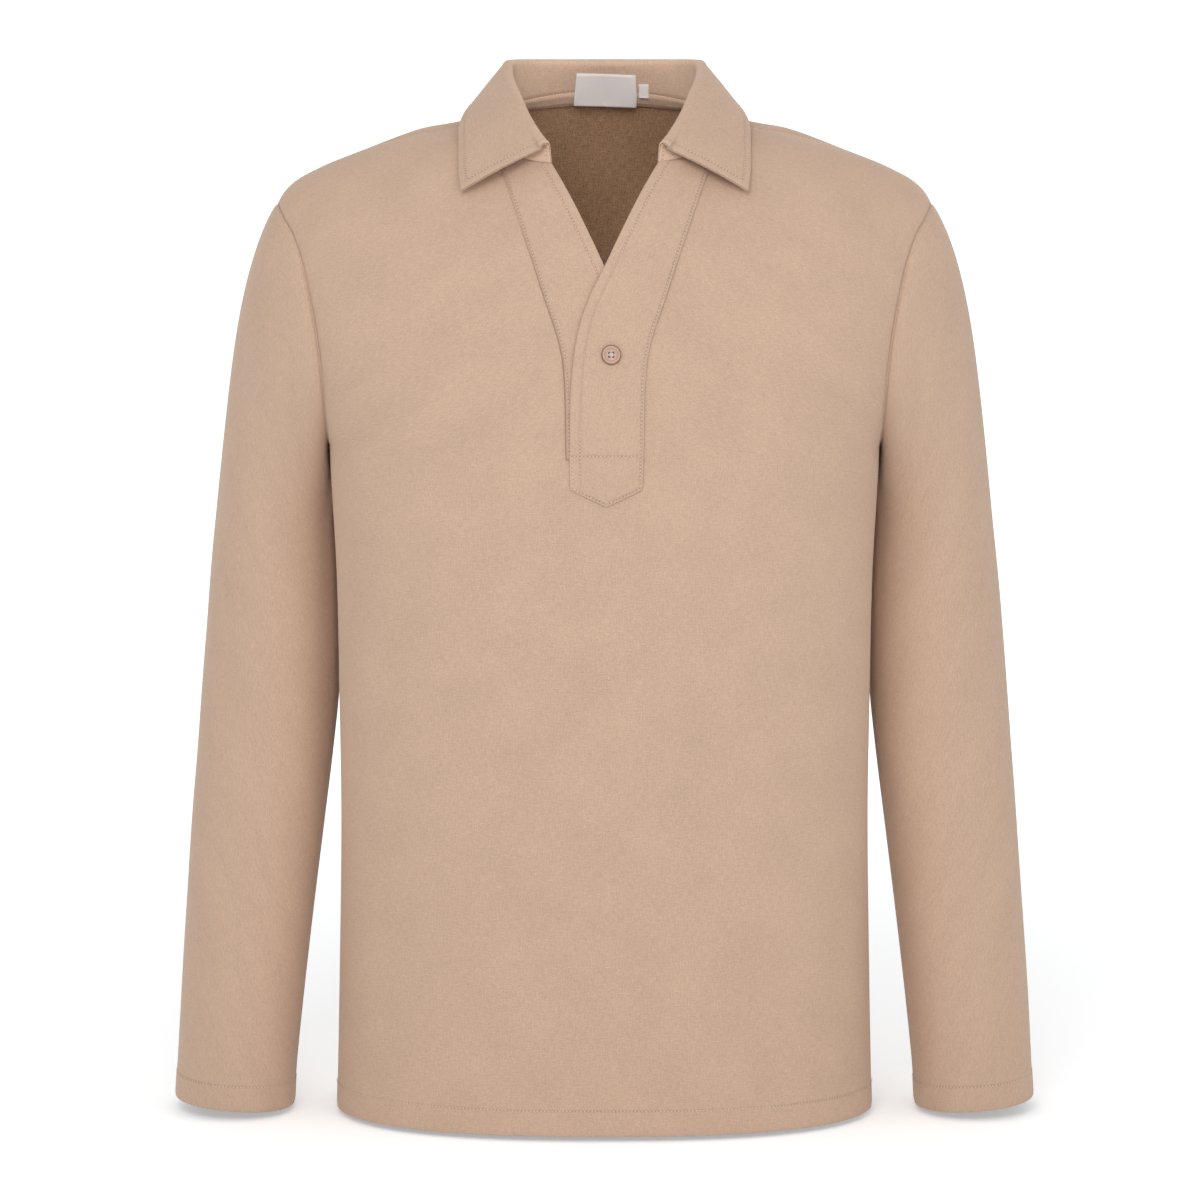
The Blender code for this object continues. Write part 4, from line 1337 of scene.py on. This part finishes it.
def walk(points, normals, distance):
    """The point and normal this far along a line."""
    for k in range(len(points) - 1):
        step = (points[k + 1] - points[k]).length
        if distance <= step:
            share = distance / max(step, 1e-9)
            return points[k].lerp(points[k + 1], share), normals[k].lerp(normals[k + 1], share)
        distance -= step
    return points[-1].copy(), normals[-1].copy()


def run_lengths(points):
    runs = [0.0]
    for a, b in zip(points, points[1:]):
        runs.append(runs[-1] + (b - a).length)
    return runs


CollarSurface = namedtuple("CollarSurface", "lines normals to_edge to_front")


def collar_surface():
    lines = collar_lines()
    normals = line_normals(lines)
    to_edge, to_front = [], []
    for line in lines:
        runs = run_lengths(line)
        to_edge.append([runs[-1] - r for r in runs])
    for j in range(len(lines[0])):
        runs = run_lengths([line[j] for line in lines])
        to_front.append([min(r, runs[-1] - r) for r in runs])
    return CollarSurface(lines, normals, to_edge, to_front)


def collar_stitch(surface, i, j):
    """Distance to the line of stitches round the fall and up the stand's front end."""
    falling = fade(STAND_STEPS, STAND_STEPS + FOLD_STEPS, j)
    inset = STAND_STITCH + (COLLAR_STITCH - STAND_STITCH) * falling
    return min(surface.to_edge[i][j] - COLLAR_STITCH, surface.to_front[j][i] - inset)


def make_collar():
    surface = collar_surface()
    lines, normals = surface.lines, surface.normals
    for name, node, face in (
        ("under_collar_ply", "under_collar", -1),
        ("upper_collar_ply", "upper_collar", 1),
    ):

        def place(i, j):
            rim = min(surface.to_edge[i][j], surface.to_front[j][i])
            closing = math.exp(-((rim / RIM_WIDTH) ** 2))
            out = PLIES_APART - PLIES_MEET * closing
            if face > 0:
                out += UPPER_PLY_LIFT * (1 - closing)
            return lines[i][j] + normals[i][j] * out * face

        def seam(i, j):
            return collar_stitch(surface, i, j)

        # Painted light: the stand is painted up to 24 % lighter, fading out over the fold, where it lies
        # in shade inside the neck
        def faded(i, j):
            return 0.24 * (1 - fade(STAND_STEPS, STAND_STEPS + FOLD_STEPS, j))

        sheet = new_cloth(range(len(lines)), range(len(lines[0])), place, seam, faded=faded)
        add_sheet(
            name, sheet, shell_cloth(), (node,), (0.50, 0.115), held="folded", wall=COLLAR_PLY,
            offset=0, flip=True, rests_on=["back_panel", "front_panel"],
        )
    return surface


# Inside the back neck

@lru_cache(maxsize=None)
def back_top_line(x):
    """Points down the back from its top edge, close together."""
    top = neck_back_z(x)
    points = []
    for i in range(26):
        risen = (1 - (i / 25 * 0.62) ** DOME_FULLNESS) ** (1 / DOME_FULLNESS)
        points.append(body_point(x, UNDERARM_Z + (top - UNDERARM_Z) * risen, BACK))
    return points


def tape_point(x, drop, out):
    """A point this far down the inside of the back, and out from the tape's seat."""

    def at(place, down):
        line = back_top_line(place)
        return walk(line, line, down)[0]

    step = 0.0006
    point = at(x, drop)
    across = at(x + step, drop) - at(x - step, drop)
    down = at(x, drop + step) - at(x, max(drop - step, 0))
    inwards = down.cross(across).normalized()
    if inwards.y > 0:
        inwards = -inwards
    return point + inwards * (TAPE_OFF_BACK + out)


def make_tape():
    end = NECK_SIDE_X * math.sin(math.pi * 0.36)
    columns = [end * (i / 24) for i in range(-24, 25)]
    drops = [
        TAPE_TOP, -0.0002, 0.0004, 0.0010, 0.0020, 0.0035, 0.0055, 0.0075, 0.0095, 0.0110,
        0.0116, TAPE_DEPTH,
    ]

    def place(x, drop):
        round_edge = 0.0008 * math.exp(-(((TAPE_DEPTH - drop) / 0.0016) ** 2))
        tucked = 0.0012 * math.exp(-(((drop - TAPE_TOP) / 0.0016) ** 2))
        return tape_point(x, drop, TAPE_SEAT - round_edge - tucked)

    def seam(x, drop):
        return drop - (TAPE_DEPTH - TAPE_STITCH)

    # Painted light: the whole tape's colour is painted half as light again, as it lies in shade inside
    # the neck
    sheet = new_cloth(columns, drops, place, seam, faded=lambda x, drop: 0.5)
    add_sheet(
        "neck_facing", sheet, shell_cloth(), ("neck_tape",), (0.16, 0.0138), rests_on=["back_panel"]
    )


def on_tape(x, drop, out):
    """A point this far off the tape's face."""
    return tape_point(x, drop, TAPE_FACE + out)


def inner_neck_point(x, z, out, stand):
    """A point on the inside of the stand, or below it on the tape, at this height."""
    i = max(k for k in range(len(stand) - 1) if stand[k][0].x <= x)
    share = (x - stand[i][0].x) / (stand[i + 1][0].x - stand[i][0].x)
    line = [stand[i][j].lerp(stand[i + 1][j], share) for j in range(STAND_STEPS + 1)]
    foot = line[0]
    if z >= foot.z:
        for a, b in zip(line, line[1:]):
            if z <= b.z:
                return a.lerp(b, (z - a.z) / (b.z - a.z))
        return line[-1]
    tape_top = on_tape(x, 0.0006, out)
    tape_low = on_tape(x, TAPE_DEPTH, out)
    if z >= tape_top.z:
        return foot.lerp(tape_top, (foot.z - z) / max(foot.z - tape_top.z, 1e-5))
    return tape_top.lerp(tape_low, (tape_top.z - z) / (tape_top.z - tape_low.z))


def make_patch(name, node, patch, surface, tilt, flat):
    """A woven label, its sides folded under, hung flat on the inside of the neck."""
    out = LABEL_OFF_TAPE
    reach = PLIES_APART + COLLAR_PLY / 2 + out
    stand = []
    for line, normals in zip(surface.lines, surface.normals):
        if abs(line[0].x) < 0.06 and line[0].y > 0:
            points = zip(line[: STAND_STEPS + 1], normals)
            stand.append([p + n * reach for p, n in points])
    columns = [i / 24 for i in range(25)]
    rows = [i / 16 for i in range(17)]
    width = patch.right_x - patch.left_x
    height = patch.top_z - patch.low_z

    @lru_cache(maxsize=None)
    def hang(share):
        """The ends of the label's line at this share of its width, and the seam it bends over."""
        x = patch.left_x + width * share
        fall = tilt * (share - 0.5) * width
        low = inner_neck_point(x - tilt * height / 2, patch.low_z - fall, out, stand)
        top = inner_neck_point(x + tilt * height / 2, patch.top_z - fall, out, stand)
        seam_point = on_tape(x, 0.0002, out)
        low.y += (seam_point.y - low.y) * 0.6
        return low, seam_point, top

    def place(share, rise):
        low, seam_point, top = hang(share)
        bend = seam_point * 2 - (low + top) / 2
        point = low * (1 - rise) ** 2 + bend * 2 * rise * (1 - rise) + top * rise**2
        rim = min(share, 1 - share) * width
        point.y -= 0.0005 * fade(0, 0.0012, rim)
        point.y -= 0.0002 * math.sin(math.pi * share) * (1 - rise)
        return point

    def seam(share, rise):
        return min(share, 1 - share) * width - 0.0022

    sheet = new_cloth(columns, rows, place, seam)
    add_sheet(
        name, sheet, label_cloth(), (node,), flat, wall=LABEL_WALL, slot="label_satin",
        rests_on=["neck_facing"],
    )


# Stitches

def add_beads(shape, places, segments, rings):
    """Adds a small ball, squashed and turned by its matrix, at each place."""
    line = bmesh.new()
    for place in places:
        bmesh.ops.create_uvsphere(
            line, u_segments=segments, v_segments=rings, radius=1, matrix=place
        )
    batch = bpy.data.meshes.new("line_of_beads")
    line.to_mesh(batch)
    line.free()
    shape.from_mesh(batch)
    bpy.data.meshes.remove(batch)


def add_stitches(threads, path, pitch=None, gap_share=0.34, width=None, sink=0.3, shade_dots=None):
    """Stitches one after the other along a path of (point, normal) pairs, and a dark dot of
    painted shade between each stitch and the next.
    """
    cloth = bpy.context.scene.shirt_cloth
    pitch = pitch or cloth.stitch_pitch
    width = width or cloth.stitch_width
    runs = run_lengths([point for point, normal in path])
    count = max(int(runs[-1] / pitch), 1)
    stitches, shade_dot_places = [], []
    k = 0
    for i in range(count):
        run = (i + 0.5) * runs[-1] / count
        while k < len(runs) - 2 and runs[k + 1] < run:
            k += 1
        share = (run - runs[k]) / max(runs[k + 1] - runs[k], 1e-9)
        point = path[k][0].lerp(path[k + 1][0], share)
        normal = path[k][1].lerp(path[k + 1][1], share).normalized()
        along = (path[k + 1][0] - path[k][0]).normalized()
        side = normal.cross(along).normalized()
        normal = along.cross(side).normalized()
        axes = Matrix((along, side, normal)).transposed().to_4x4()
        half = runs[-1] / count * (1 - gap_share) / 2
        size = Matrix.Diagonal((half, width / 2, width / 2, 1))
        stitches.append(Matrix.Translation(point + normal * width * (0.5 - sink)) @ axes @ size)
        # A dark dot of painted shade between this stitch and the next
        shade_dot = Matrix.Diagonal((0.42 * width * 1.6, 0.42 * width, 0.3 * width, 1))
        at = point + along * runs[-1] / count / 2 + normal * 0.00008
        shade_dot_places.append(Matrix.Translation(at) @ axes @ shade_dot)
    add_beads(threads, stitches, 5, 4)
    if shade_dots:
        add_beads(shade_dots, shade_dot_places, 6, 3)


def body_path(places, face, out):
    """A path over the body through (x, z) places."""
    return [(off_body(x, z, face, out), body_normal(x, z, face)) for x, z in places]


def hem_path(face):
    z = HEM_Z + bpy.context.scene.shirt_cloth.hem_depth
    half = body_half_width(z, face)
    places = []
    for i in range(161):
        turn = math.pi * (i / 160 - 0.5)
        places.append((0.9985 * half * signed_power(math.sin(turn), 2 / BODY_FULLNESS), z))
    return body_path(places, face, ON_CLOTH)


def cuff_path(side):
    z = CUFF_Z + bpy.context.scene.shirt_cloth.hem_depth
    row = SleeveRow(1, z, 0.0, 0.0)
    path = []
    for i in range(121):
        angle = math.pi + 2 * math.pi * i / 120
        normal = sleeve_normal(row, angle)
        point = sleeve_point(row, angle) + normal * ON_CLOTH
        path.append((Vector((side * point.x, point.y, point.z)),
                     Vector((side * normal.x, normal.y, normal.z))))
    return path


def rising(low, high, count=90):
    return [low + (high - low) * i / count for i in range(count + 1)]


def placket_paths():
    """Lines of stitches on the placket."""
    lift = OVER_BAND_LIFT
    paths = []
    low = tab_low(band_seam_curve(BANDS[0].z)) + EDGE_STITCH
    seam = [(band_seam_curve(z) - EDGE_STITCH, z) for z in rising(low, BAND_STITCH_TOP_Z)]
    paths.append(body_path(seam, FRONT, lift))
    heights = rising(low + 0.006, V_CORNER_Z - 0.002)
    top = [(band_inner_x(z, 1) + BAND_STITCH, z) for z in heights]
    paths.append(body_path(top, FRONT, lift))
    left = [(band_inner_x(z, 1) + EDGE_STITCH, z) for z in rising(low, BOX_STITCH_Z, 12)]
    paths.append(body_path(left, FRONT, lift))
    box = [(x, BOX_STITCH_Z) for x in rising(*BOX_STITCH_ENDS, 24)]
    paths.append(body_path(box, FRONT, lift))
    for side in (-1, 1):
        corner = TAB_POINT[0] + side * TAB_STITCH_HALF
        point = [(x, tab_low(x) + EDGE_STITCH) for x in rising(TAB_POINT[0], corner, 12)]
        paths.append(body_path(point, FRONT, lift))
    heights = rising(SLOT_BOTTOM_Z + 0.001, BAND_STITCH_TOP_Z)
    under_seam = [(-(band_seam_curve(z) - SLOT_HIDDEN), z) for z in heights]
    paths.append(body_path(under_seam, FRONT, 0.0))
    under_top = [
        (-(band_inner_x(z, UNDER_BAND_HIDDEN_EDGE) + BAND_STITCH), z)
        for z in rising(UNDER_STITCH_LOW_Z, V_CORNER_Z - 0.002)
    ]
    paths.append(body_path(under_top, FRONT, 0.0))
    return paths


def collar_paths(surface):
    """Stitches round the fall, inside its edge, and on the stand's front ends."""
    lines, normals = surface.lines, surface.normals
    outer_face = PLIES_APART + UPPER_PLY_LIFT + COLLAR_PLY / 2
    stand_face = PLIES_APART + COLLAR_PLY / 2
    round_edge = []
    for i, (line, facing) in enumerate(zip(lines, normals)):
        point, normal = walk(line[::-1], facing[::-1], COLLAR_STITCH)
        if surface.to_front[-1][i] > COLLAR_STITCH:
            round_edge.append((point + normal * outer_face, normal))
    paths = [round_edge]
    for end, step in ((0, 1), (len(lines) - 1, -1)):
        beside = range(end, end + step * 12, step)

        def from_front(j, inset, side, out):
            points = [lines[i][j] for i in beside]
            point, normal = walk(points, [normals[i][j] * side for i in beside], inset)
            return point + normal * out, normal

        falling = range(STAND_STEPS + FOLD_STEPS + 2, len(lines[0]))
        inside_edge = [j for j in falling if surface.to_edge[end][j] >= COLLAR_STITCH]
        paths.append([from_front(j, COLLAR_STITCH, 1, outer_face) for j in inside_edge])
        stand = range(STAND_STEPS + 1)
        paths.append([from_front(j, STAND_STITCH, -1, stand_face) for j in stand])
    return paths


def shoulder_path(side):
    xs = rising(NECK_SIDE_X + 0.03, SHOULDER_TIP.x - 0.012)
    return body_path([(side * x, shoulder_z(x) - 0.00012) for x in xs], FRONT, 0.0)


def tape_path():
    drop = TAPE_DEPTH - TAPE_STITCH
    inwards = Vector((0, -1, 0))
    return [(tape_point(x, drop, 0.0010), inwards) for x in rising(-0.066, 0.066, 60)]


def collar_foot_path(surface):
    """Stitches just above the back neck seam, on the inside of the stand."""
    reach = PLIES_APART + 0.0003 + COLLAR_PLY / 2
    path = []
    for line, facing in zip(surface.lines, surface.normals):
        if line[0].y > 0 and abs(line[0].x) < 0.072:
            path.append((line[0].lerp(line[1], 0.35) + facing[0] * reach, facing[0]))
    return path


def make_stitching(surface):
    threads = bmesh.new()
    # The dark dots between the stitches are painted shade
    shade_dots = bmesh.new()
    paths = [hem_path(face) for face in (FRONT, BACK)] + [cuff_path(side) for side in (LEFT, RIGHT)]
    for path in paths + placket_paths() + collar_paths(surface):
        add_stitches(threads, path, shade_dots=shade_dots)
    for side in (LEFT, RIGHT):
        add_stitches(threads, shoulder_path(side))
    for path in (tape_path(), collar_foot_path(surface)):
        add_stitches(threads, path, shade_dots=shade_dots)
    add_piece("stitching", threads, sewing_thread())
    add_piece("needle_holes", shade_dots, needle_shade_material())


# Button

def button_frame():
    x, z = BUTTON_AT
    normal = body_normal(x, z, FRONT)
    seat = off_body(x, z, FRONT, OVER_BAND_LIFT)
    turn = normal.to_track_quat("Z", "Y").to_matrix().to_4x4()
    return Matrix.Translation(seat) @ turn


def button_material(name):
    colour = bpy.context.scene.shirt_cloth.button_colour
    material = bpy.data.materials.new(name)
    material.use_nodes = True
    tree = material.node_tree
    shader = tree.nodes["Principled BSDF"]
    place = add_node(tree, "ShaderNodeTexCoord").outputs["Object"]
    swirl = add_node(
        tree, "ShaderNodeTexNoise",
        {"Vector": place, "Scale": 170.0, "Detail": 4.0, "Distortion": 1.5},
    )
    mix = add_node(tree, "ShaderNodeMix", {"Factor": swirl.outputs["Fac"]}, data_type="RGBA")
    mix.inputs["A"].default_value = (*(c * 0.86 for c in colour), 1)
    mix.inputs["B"].default_value = (*(min(c * 1.16, 1) for c in colour), 1)
    seat = button_frame().translation
    off_centre = add_node(
        tree, "ShaderNodeVectorMath", {0: place, 1: seat}, operation="DISTANCE"
    ).outputs["Value"]
    # Painted shade: a darker ring on the slope from the middle up to the rim, and a dark outline round
    # the rim's edge, where shade falls
    rings = add_node(
        tree, "ShaderNodeValToRGB", {"Fac": calculate(tree, "DIVIDE", off_centre, BUTTON_RADIUS)}
    )
    ramp = rings.color_ramp
    ramp.elements[0].color = (1, 1, 1, 1)
    ramp.elements[1].position = 1.06
    ramp.elements[1].color = (0.34, 0.25, 0.22, 1)
    for radius, shade in BUTTON_SHADE_RINGS:
        ramp.elements.new(radius).color = (shade, shade * 0.96, shade * 0.94, 1)
    ring_shaded_colour = add_node(
        tree, "ShaderNodeVectorMath",
        {0: mix.outputs["Result"], 1: rings.outputs["Color"]}, operation="MULTIPLY",
    )
    tree.links.new(ring_shaded_colour.outputs[0], shader.inputs["Base Color"])
    rough = calculate(tree, "MULTIPLY_ADD", swirl.outputs["Fac"], 0.15, 0.30)
    tree.links.new(rough, shader.inputs["Roughness"])
    return material


def add_helper(name, shape):
    """A mesh object made from a shape, which isn't a piece of the shirt."""
    mesh = bpy.data.meshes.new(name)
    shape.to_mesh(mesh)
    shape.free()
    helper = bpy.data.objects.new(name, mesh)
    bpy.context.scene.collection.objects.link(helper)
    return helper


def hole_places(height):
    """The middles of the button's holes, at this height over its seat."""
    turns = [math.pi / 4 + 2 * math.pi / BUTTON_HOLES * i for i in range(BUTTON_HOLES)]
    return [
        (BUTTON_HOLE_SPREAD * math.cos(turn), BUTTON_HOLE_SPREAD * math.sin(turn), height)
        for turn in turns
    ]


def button_shape():
    """The turned button with its holes cut through."""
    shape = bmesh.new()
    corners = [shape.verts.new((r, 0, h)) for r, h in BUTTON_PROFILE]
    edges = [shape.edges.new(pair) for pair in zip(corners, corners[1:])]
    bmesh.ops.spin(
        shape, geom=corners + edges, cent=(0, 0, 0), axis=(0, 0, 1), angle=2 * math.pi,
        steps=64, use_merge=True,
    )
    bmesh.ops.remove_doubles(shape, verts=shape.verts[:], dist=0.00001)
    bmesh.ops.recalc_face_normals(shape, faces=shape.faces[:])
    drills = bmesh.new()
    for at in hole_places(0.0015):
        bmesh.ops.create_cone(
            drills, cap_ends=True, segments=20, radius1=BUTTON_HOLE_RADIUS,
            radius2=BUTTON_HOLE_RADIUS, depth=0.006, matrix=Matrix.Translation(at),
        )
    blank, cutter = add_helper("button_blank", shape), add_helper("button_holes", drills)
    cut = blank.modifiers.new("Holes", "BOOLEAN")
    cut.operation = "DIFFERENCE"
    cut.object = cutter
    graph = bpy.context.evaluated_depsgraph_get()
    finished = bmesh.new()
    finished.from_mesh(blank.evaluated_get(graph).to_mesh())
    for helper in (blank, cutter):
        bpy.data.objects.remove(helper, do_unlink=True)
    return finished


def button_thread():
    """Two crossed pairs of threads from hole to hole."""
    threads = bmesh.new()
    up = Vector((0, 0, 1))
    for turn in (math.pi / 4, 3 * math.pi / 4):
        way = Vector((math.cos(turn), math.sin(turn), 0))
        for shift in (-0.00018, 0.00018):
            beside = up.cross(way) * shift
            path = []
            for i in range(9):
                share = i / 4 - 1
                crown = 0.00035 * (1 - share**4)
                height = BUTTON_FACE + crown - 0.0006 * fade(0.8, 1.0, abs(share))
                path.append((way * share * BUTTON_HOLE_SPREAD + beside + up * height, up))
            add_stitches(threads, path, pitch=0.0006, gap_share=-0.5, width=0.00032, sink=0.5)
    return threads


def painted_hole_shade():
    """Dark beads down in the button's holes: painted shade."""
    depths = bmesh.new()
    size = Matrix.Diagonal((0.00092, 0.00092, 0.0004, 1))
    add_beads(depths, [Matrix.Translation(at) @ size for at in hole_places(0.0009)], 16, 6)
    return depths


def buttonhole():
    """Two columns of short bars, closer together towards their ends."""
    bars = bmesh.new()
    up = Vector((0, 0, 1))
    half = Vector((1, 0, 0)) * BAR_HALF
    count = 30
    for column in (-1, 1):
        for i in range(count):
            share = i / (count - 1) * 2 - 1
            narrow = fade(1.0, 0.86, abs(share))
            centre = Vector((column * 0.00075 * narrow, BUTTONHOLE_HALF * share, 0.00008))
            path = [(centre - half, up), (centre + half, up)]
            add_stitches(bars, path, pitch=2 * BAR_HALF, gap_share=0.0, width=0.0005, sink=0.3)
    return bars


def make_button():
    seat = button_frame()

    def on_seat(name, shape, material, *more):
        shape.transform(seat)
        return add_piece(name, shape, material, *more)

    material = shared_material("Resin button", button_material)
    button = on_seat("shirt_button", button_shape(), material, ("button",), "button")
    corner = math.radians(40)
    button.data.set_sharp_from_angle(angle=corner)
    edge = button.modifiers.new("Soft edges", "BEVEL")
    edge.width = 0.00012
    edge.segments = 2
    edge.limit_method = "ANGLE"
    edge.angle_limit = corner
    on_seat("button_thread", button_thread(), pale_thread(), (), "button")
    on_seat("button_hole_shade", painted_hole_shade(), button_hole_shade_material(), (), "button")
    on_seat("buttonhole", buttonhole(), sewing_thread())


# Studio

def aimed(place, target):
    """The turn that makes a camera or a lamp at this place look at the target."""
    return (target - place).to_track_quat("-Z", "Y").to_euler()


def make_camera(studio):
    place = Vector(studio.camera_place)
    lens = bpy.data.cameras.new("Camera")
    lens.lens = studio.focal_length
    lens.sensor_width = 36
    lens.clip_end = 50
    camera = bpy.data.objects.new("Camera", lens)
    camera.location = place
    camera.rotation_euler = aimed(place, Vector(studio.camera_aim))
    bpy.context.scene.collection.objects.link(camera)
    bpy.context.scene.camera = camera


def make_surround(studio):
    world = bpy.data.worlds.new("Studio")
    world.use_nodes = True
    background = world.node_tree.nodes["Background"]
    background.inputs["Color"].default_value = (1, 1, 1, 1)
    background.inputs["Strength"].default_value = studio.surround
    bpy.context.scene.world = world


def floor_material(studio):
    """White, and glowing a little so that it stays white round the shirt and far behind it."""
    material = bpy.data.materials.new("White floor")
    material.use_nodes = True
    tree = material.node_tree
    shader = tree.nodes["Principled BSDF"]
    shader.inputs["Base Color"].default_value = (0.912, 0.928, 0.942, 1)
    shader.inputs["Roughness"].default_value = 0.9
    shader.inputs["Specular IOR Level"].default_value = 0.1
    shader.inputs["Emission Color"].default_value = (1, 1, 1, 1)
    place = add_node(tree, "ShaderNodeTexCoord").outputs["Object"]
    distance = add_node(tree, "ShaderNodeVectorMath", {0: place}, operation="LENGTH")
    glow = add_node(
        tree, "ShaderNodeMapRange",
        {"Value": distance.outputs["Value"], "From Min": 0.8, "From Max": 1.9,
         "To Min": studio.floor_light, "To Max": studio.far_light},
        interpolation_type="SMOOTHSTEP",
    ).outputs["Result"]
    seen = add_node(tree, "ShaderNodeLightPath").outputs["Is Camera Ray"]
    share = calculate(tree, "MULTIPLY_ADD", seen, 0.85, 0.15)
    tree.links.new(calculate(tree, "MULTIPLY", glow, share), shader.inputs["Emission Strength"])
    return material


def make_floor(studio):
    half, middle_y = 9, 2.0
    shape = bmesh.new()
    bmesh.ops.create_grid(shape, x_segments=2, y_segments=2, size=half)
    bmesh.ops.translate(shape, vec=(0, middle_y, HEM_Z - 0.004), verts=shape.verts[:])
    far_y = middle_y + half - 0.1
    back_edge = [e for e in shape.edges if e.is_boundary and all(v.co.y > far_y for v in e.verts)]
    raised = bmesh.ops.extrude_edge_only(shape, edges=back_edge)
    wall = [v for v in raised["geom"] if isinstance(v, bmesh.types.BMVert)]
    bmesh.ops.translate(shape, vec=(0, 0.0, 8.0), verts=wall)
    floor = add_helper("floor", shape)
    floor.data.materials.append(floor_material(studio))


def make_lights(studio):
    target = Vector((0, 0, -0.35))
    for name, at, size, power in (
        ("Key light", (-0.35, -2.7, 1.25), 1.4, studio.key),
        ("Fill light", (1.3, -2.9, 0.3), 1.8, studio.key * 0.38),
    ):
        lamp = bpy.data.lights.new(name, "AREA")
        lamp.shape = "DISK"
        lamp.size = size
        lamp.energy = power
        light = bpy.data.objects.new(name, lamp)
        light.location = at
        light.rotation_euler = aimed(Vector(at), target)
        bpy.context.scene.collection.objects.link(light)


def make_studio():
    studio = bpy.context.scene.shirt_studio
    make_camera(studio)
    make_surround(studio)
    make_floor(studio)
    make_lights(studio)
    bpy.context.scene.view_settings.view_transform = "Standard"


SHAPES = {}  # what one step leaves for the steps after it


class SHIRT_OT_body(bpy.types.Operator):
    """Make the front and back panels with their turned hem"""

    bl_idname = "shirt.body"
    bl_label = "Front and back"

    def execute(self, context):
        make_back()
        make_front()
        return {"FINISHED"}


class SHIRT_OT_sleeves(bpy.types.Operator):
    """Make both sleeves with their turned cuffs"""

    bl_idname = "shirt.sleeves"
    bl_label = "Sleeves"

    def execute(self, context):
        make_sleeve("left_sleeve", "sleeve_left", LEFT)
        make_sleeve("right_sleeve", "sleeve_right", RIGHT)
        return {"FINISHED"}


class SHIRT_OT_placket(bpy.types.Operator):
    """Make the placket's over band and under band"""

    bl_idname = "shirt.placket"
    bl_label = "Placket"

    def execute(self, context):
        make_placket()
        return {"FINISHED"}


class SHIRT_OT_collar(bpy.types.Operator):
    """Make the collar's two plies"""

    bl_idname = "shirt.collar"
    bl_label = "Collar"

    def execute(self, context):
        SHAPES["collar"] = make_collar()
        return {"FINISHED"}


class SHIRT_OT_neck_trim(bpy.types.Operator):
    """Make the tape, the bare label and the size tab inside the back neck"""

    bl_idname = "shirt.neck_trim"
    bl_label = "Neck trim"

    def execute(self, context):
        if "collar" not in SHAPES:
            raise RuntimeError("The collar comes before the neck trim")
        make_tape()
        surface = SHAPES["collar"]
        make_patch("main_label", "label", NECK_LABEL, surface, 0.03, (0.0500, 0.0290))
        make_patch("size_label", "size_tab", SIZE_TAB, surface, 0.0, (0.0110, 0.0120))
        return {"FINISHED"}


class SHIRT_OT_stitching(bpy.types.Operator):
    """Make the lines of stitches"""

    bl_idname = "shirt.stitching"
    bl_label = "Stitching"

    def execute(self, context):
        if "collar" not in SHAPES:
            raise RuntimeError("The collar comes before the stitching")
        make_stitching(SHAPES["collar"])
        return {"FINISHED"}


class SHIRT_OT_button(bpy.types.Operator):
    """Make the button, its thread and its buttonhole"""

    bl_idname = "shirt.button"
    bl_label = "Button"

    def execute(self, context):
        make_button()
        return {"FINISHED"}


class SHIRT_OT_studio(bpy.types.Operator):
    """Make the floor, the lights and the camera"""

    bl_idname = "shirt.studio"
    bl_label = "Studio"

    def execute(self, context):
        make_studio()
        return {"FINISHED"}


STEPS = (
    SHIRT_OT_body,
    SHIRT_OT_sleeves,
    SHIRT_OT_placket,
    SHIRT_OT_collar,
    SHIRT_OT_neck_trim,
    SHIRT_OT_stitching,
    SHIRT_OT_button,
    SHIRT_OT_studio,
)


class SHIRT_PT_panel(bpy.types.Panel):
    """The shirt's pieces and settings"""

    bl_label = "Popover shirt"
    bl_space_type = "VIEW_3D"
    bl_region_type = "UI"
    bl_category = "Shirt"

    def draw(self, context):
        layout = self.layout
        for settings in (context.scene.shirt_cloth, context.scene.shirt_studio):
            for name in settings.__annotations__:
                layout.prop(settings, name)
        for step in STEPS:
            layout.operator(step.bl_idname)


CLASSES = (ShirtCloth, ShirtStudio, *STEPS, SHIRT_PT_panel)


def register():
    for kind in CLASSES:
        bpy.utils.register_class(kind)
    bpy.types.Scene.shirt_cloth = PointerProperty(type=ShirtCloth)
    bpy.types.Scene.shirt_studio = PointerProperty(type=ShirtStudio)


def unregister():
    del bpy.types.Scene.shirt_studio
    del bpy.types.Scene.shirt_cloth
    for kind in reversed(CLASSES):
        bpy.utils.unregister_class(kind)


def main():
    register()
    bpy.ops.shirt.body()
    bpy.ops.shirt.sleeves()
    bpy.ops.shirt.placket()
    bpy.ops.shirt.collar()
    bpy.ops.shirt.neck_trim()
    bpy.ops.shirt.stitching()
    bpy.ops.shirt.button()
    bpy.ops.shirt.studio()


if __name__ == "__main__":
    main()
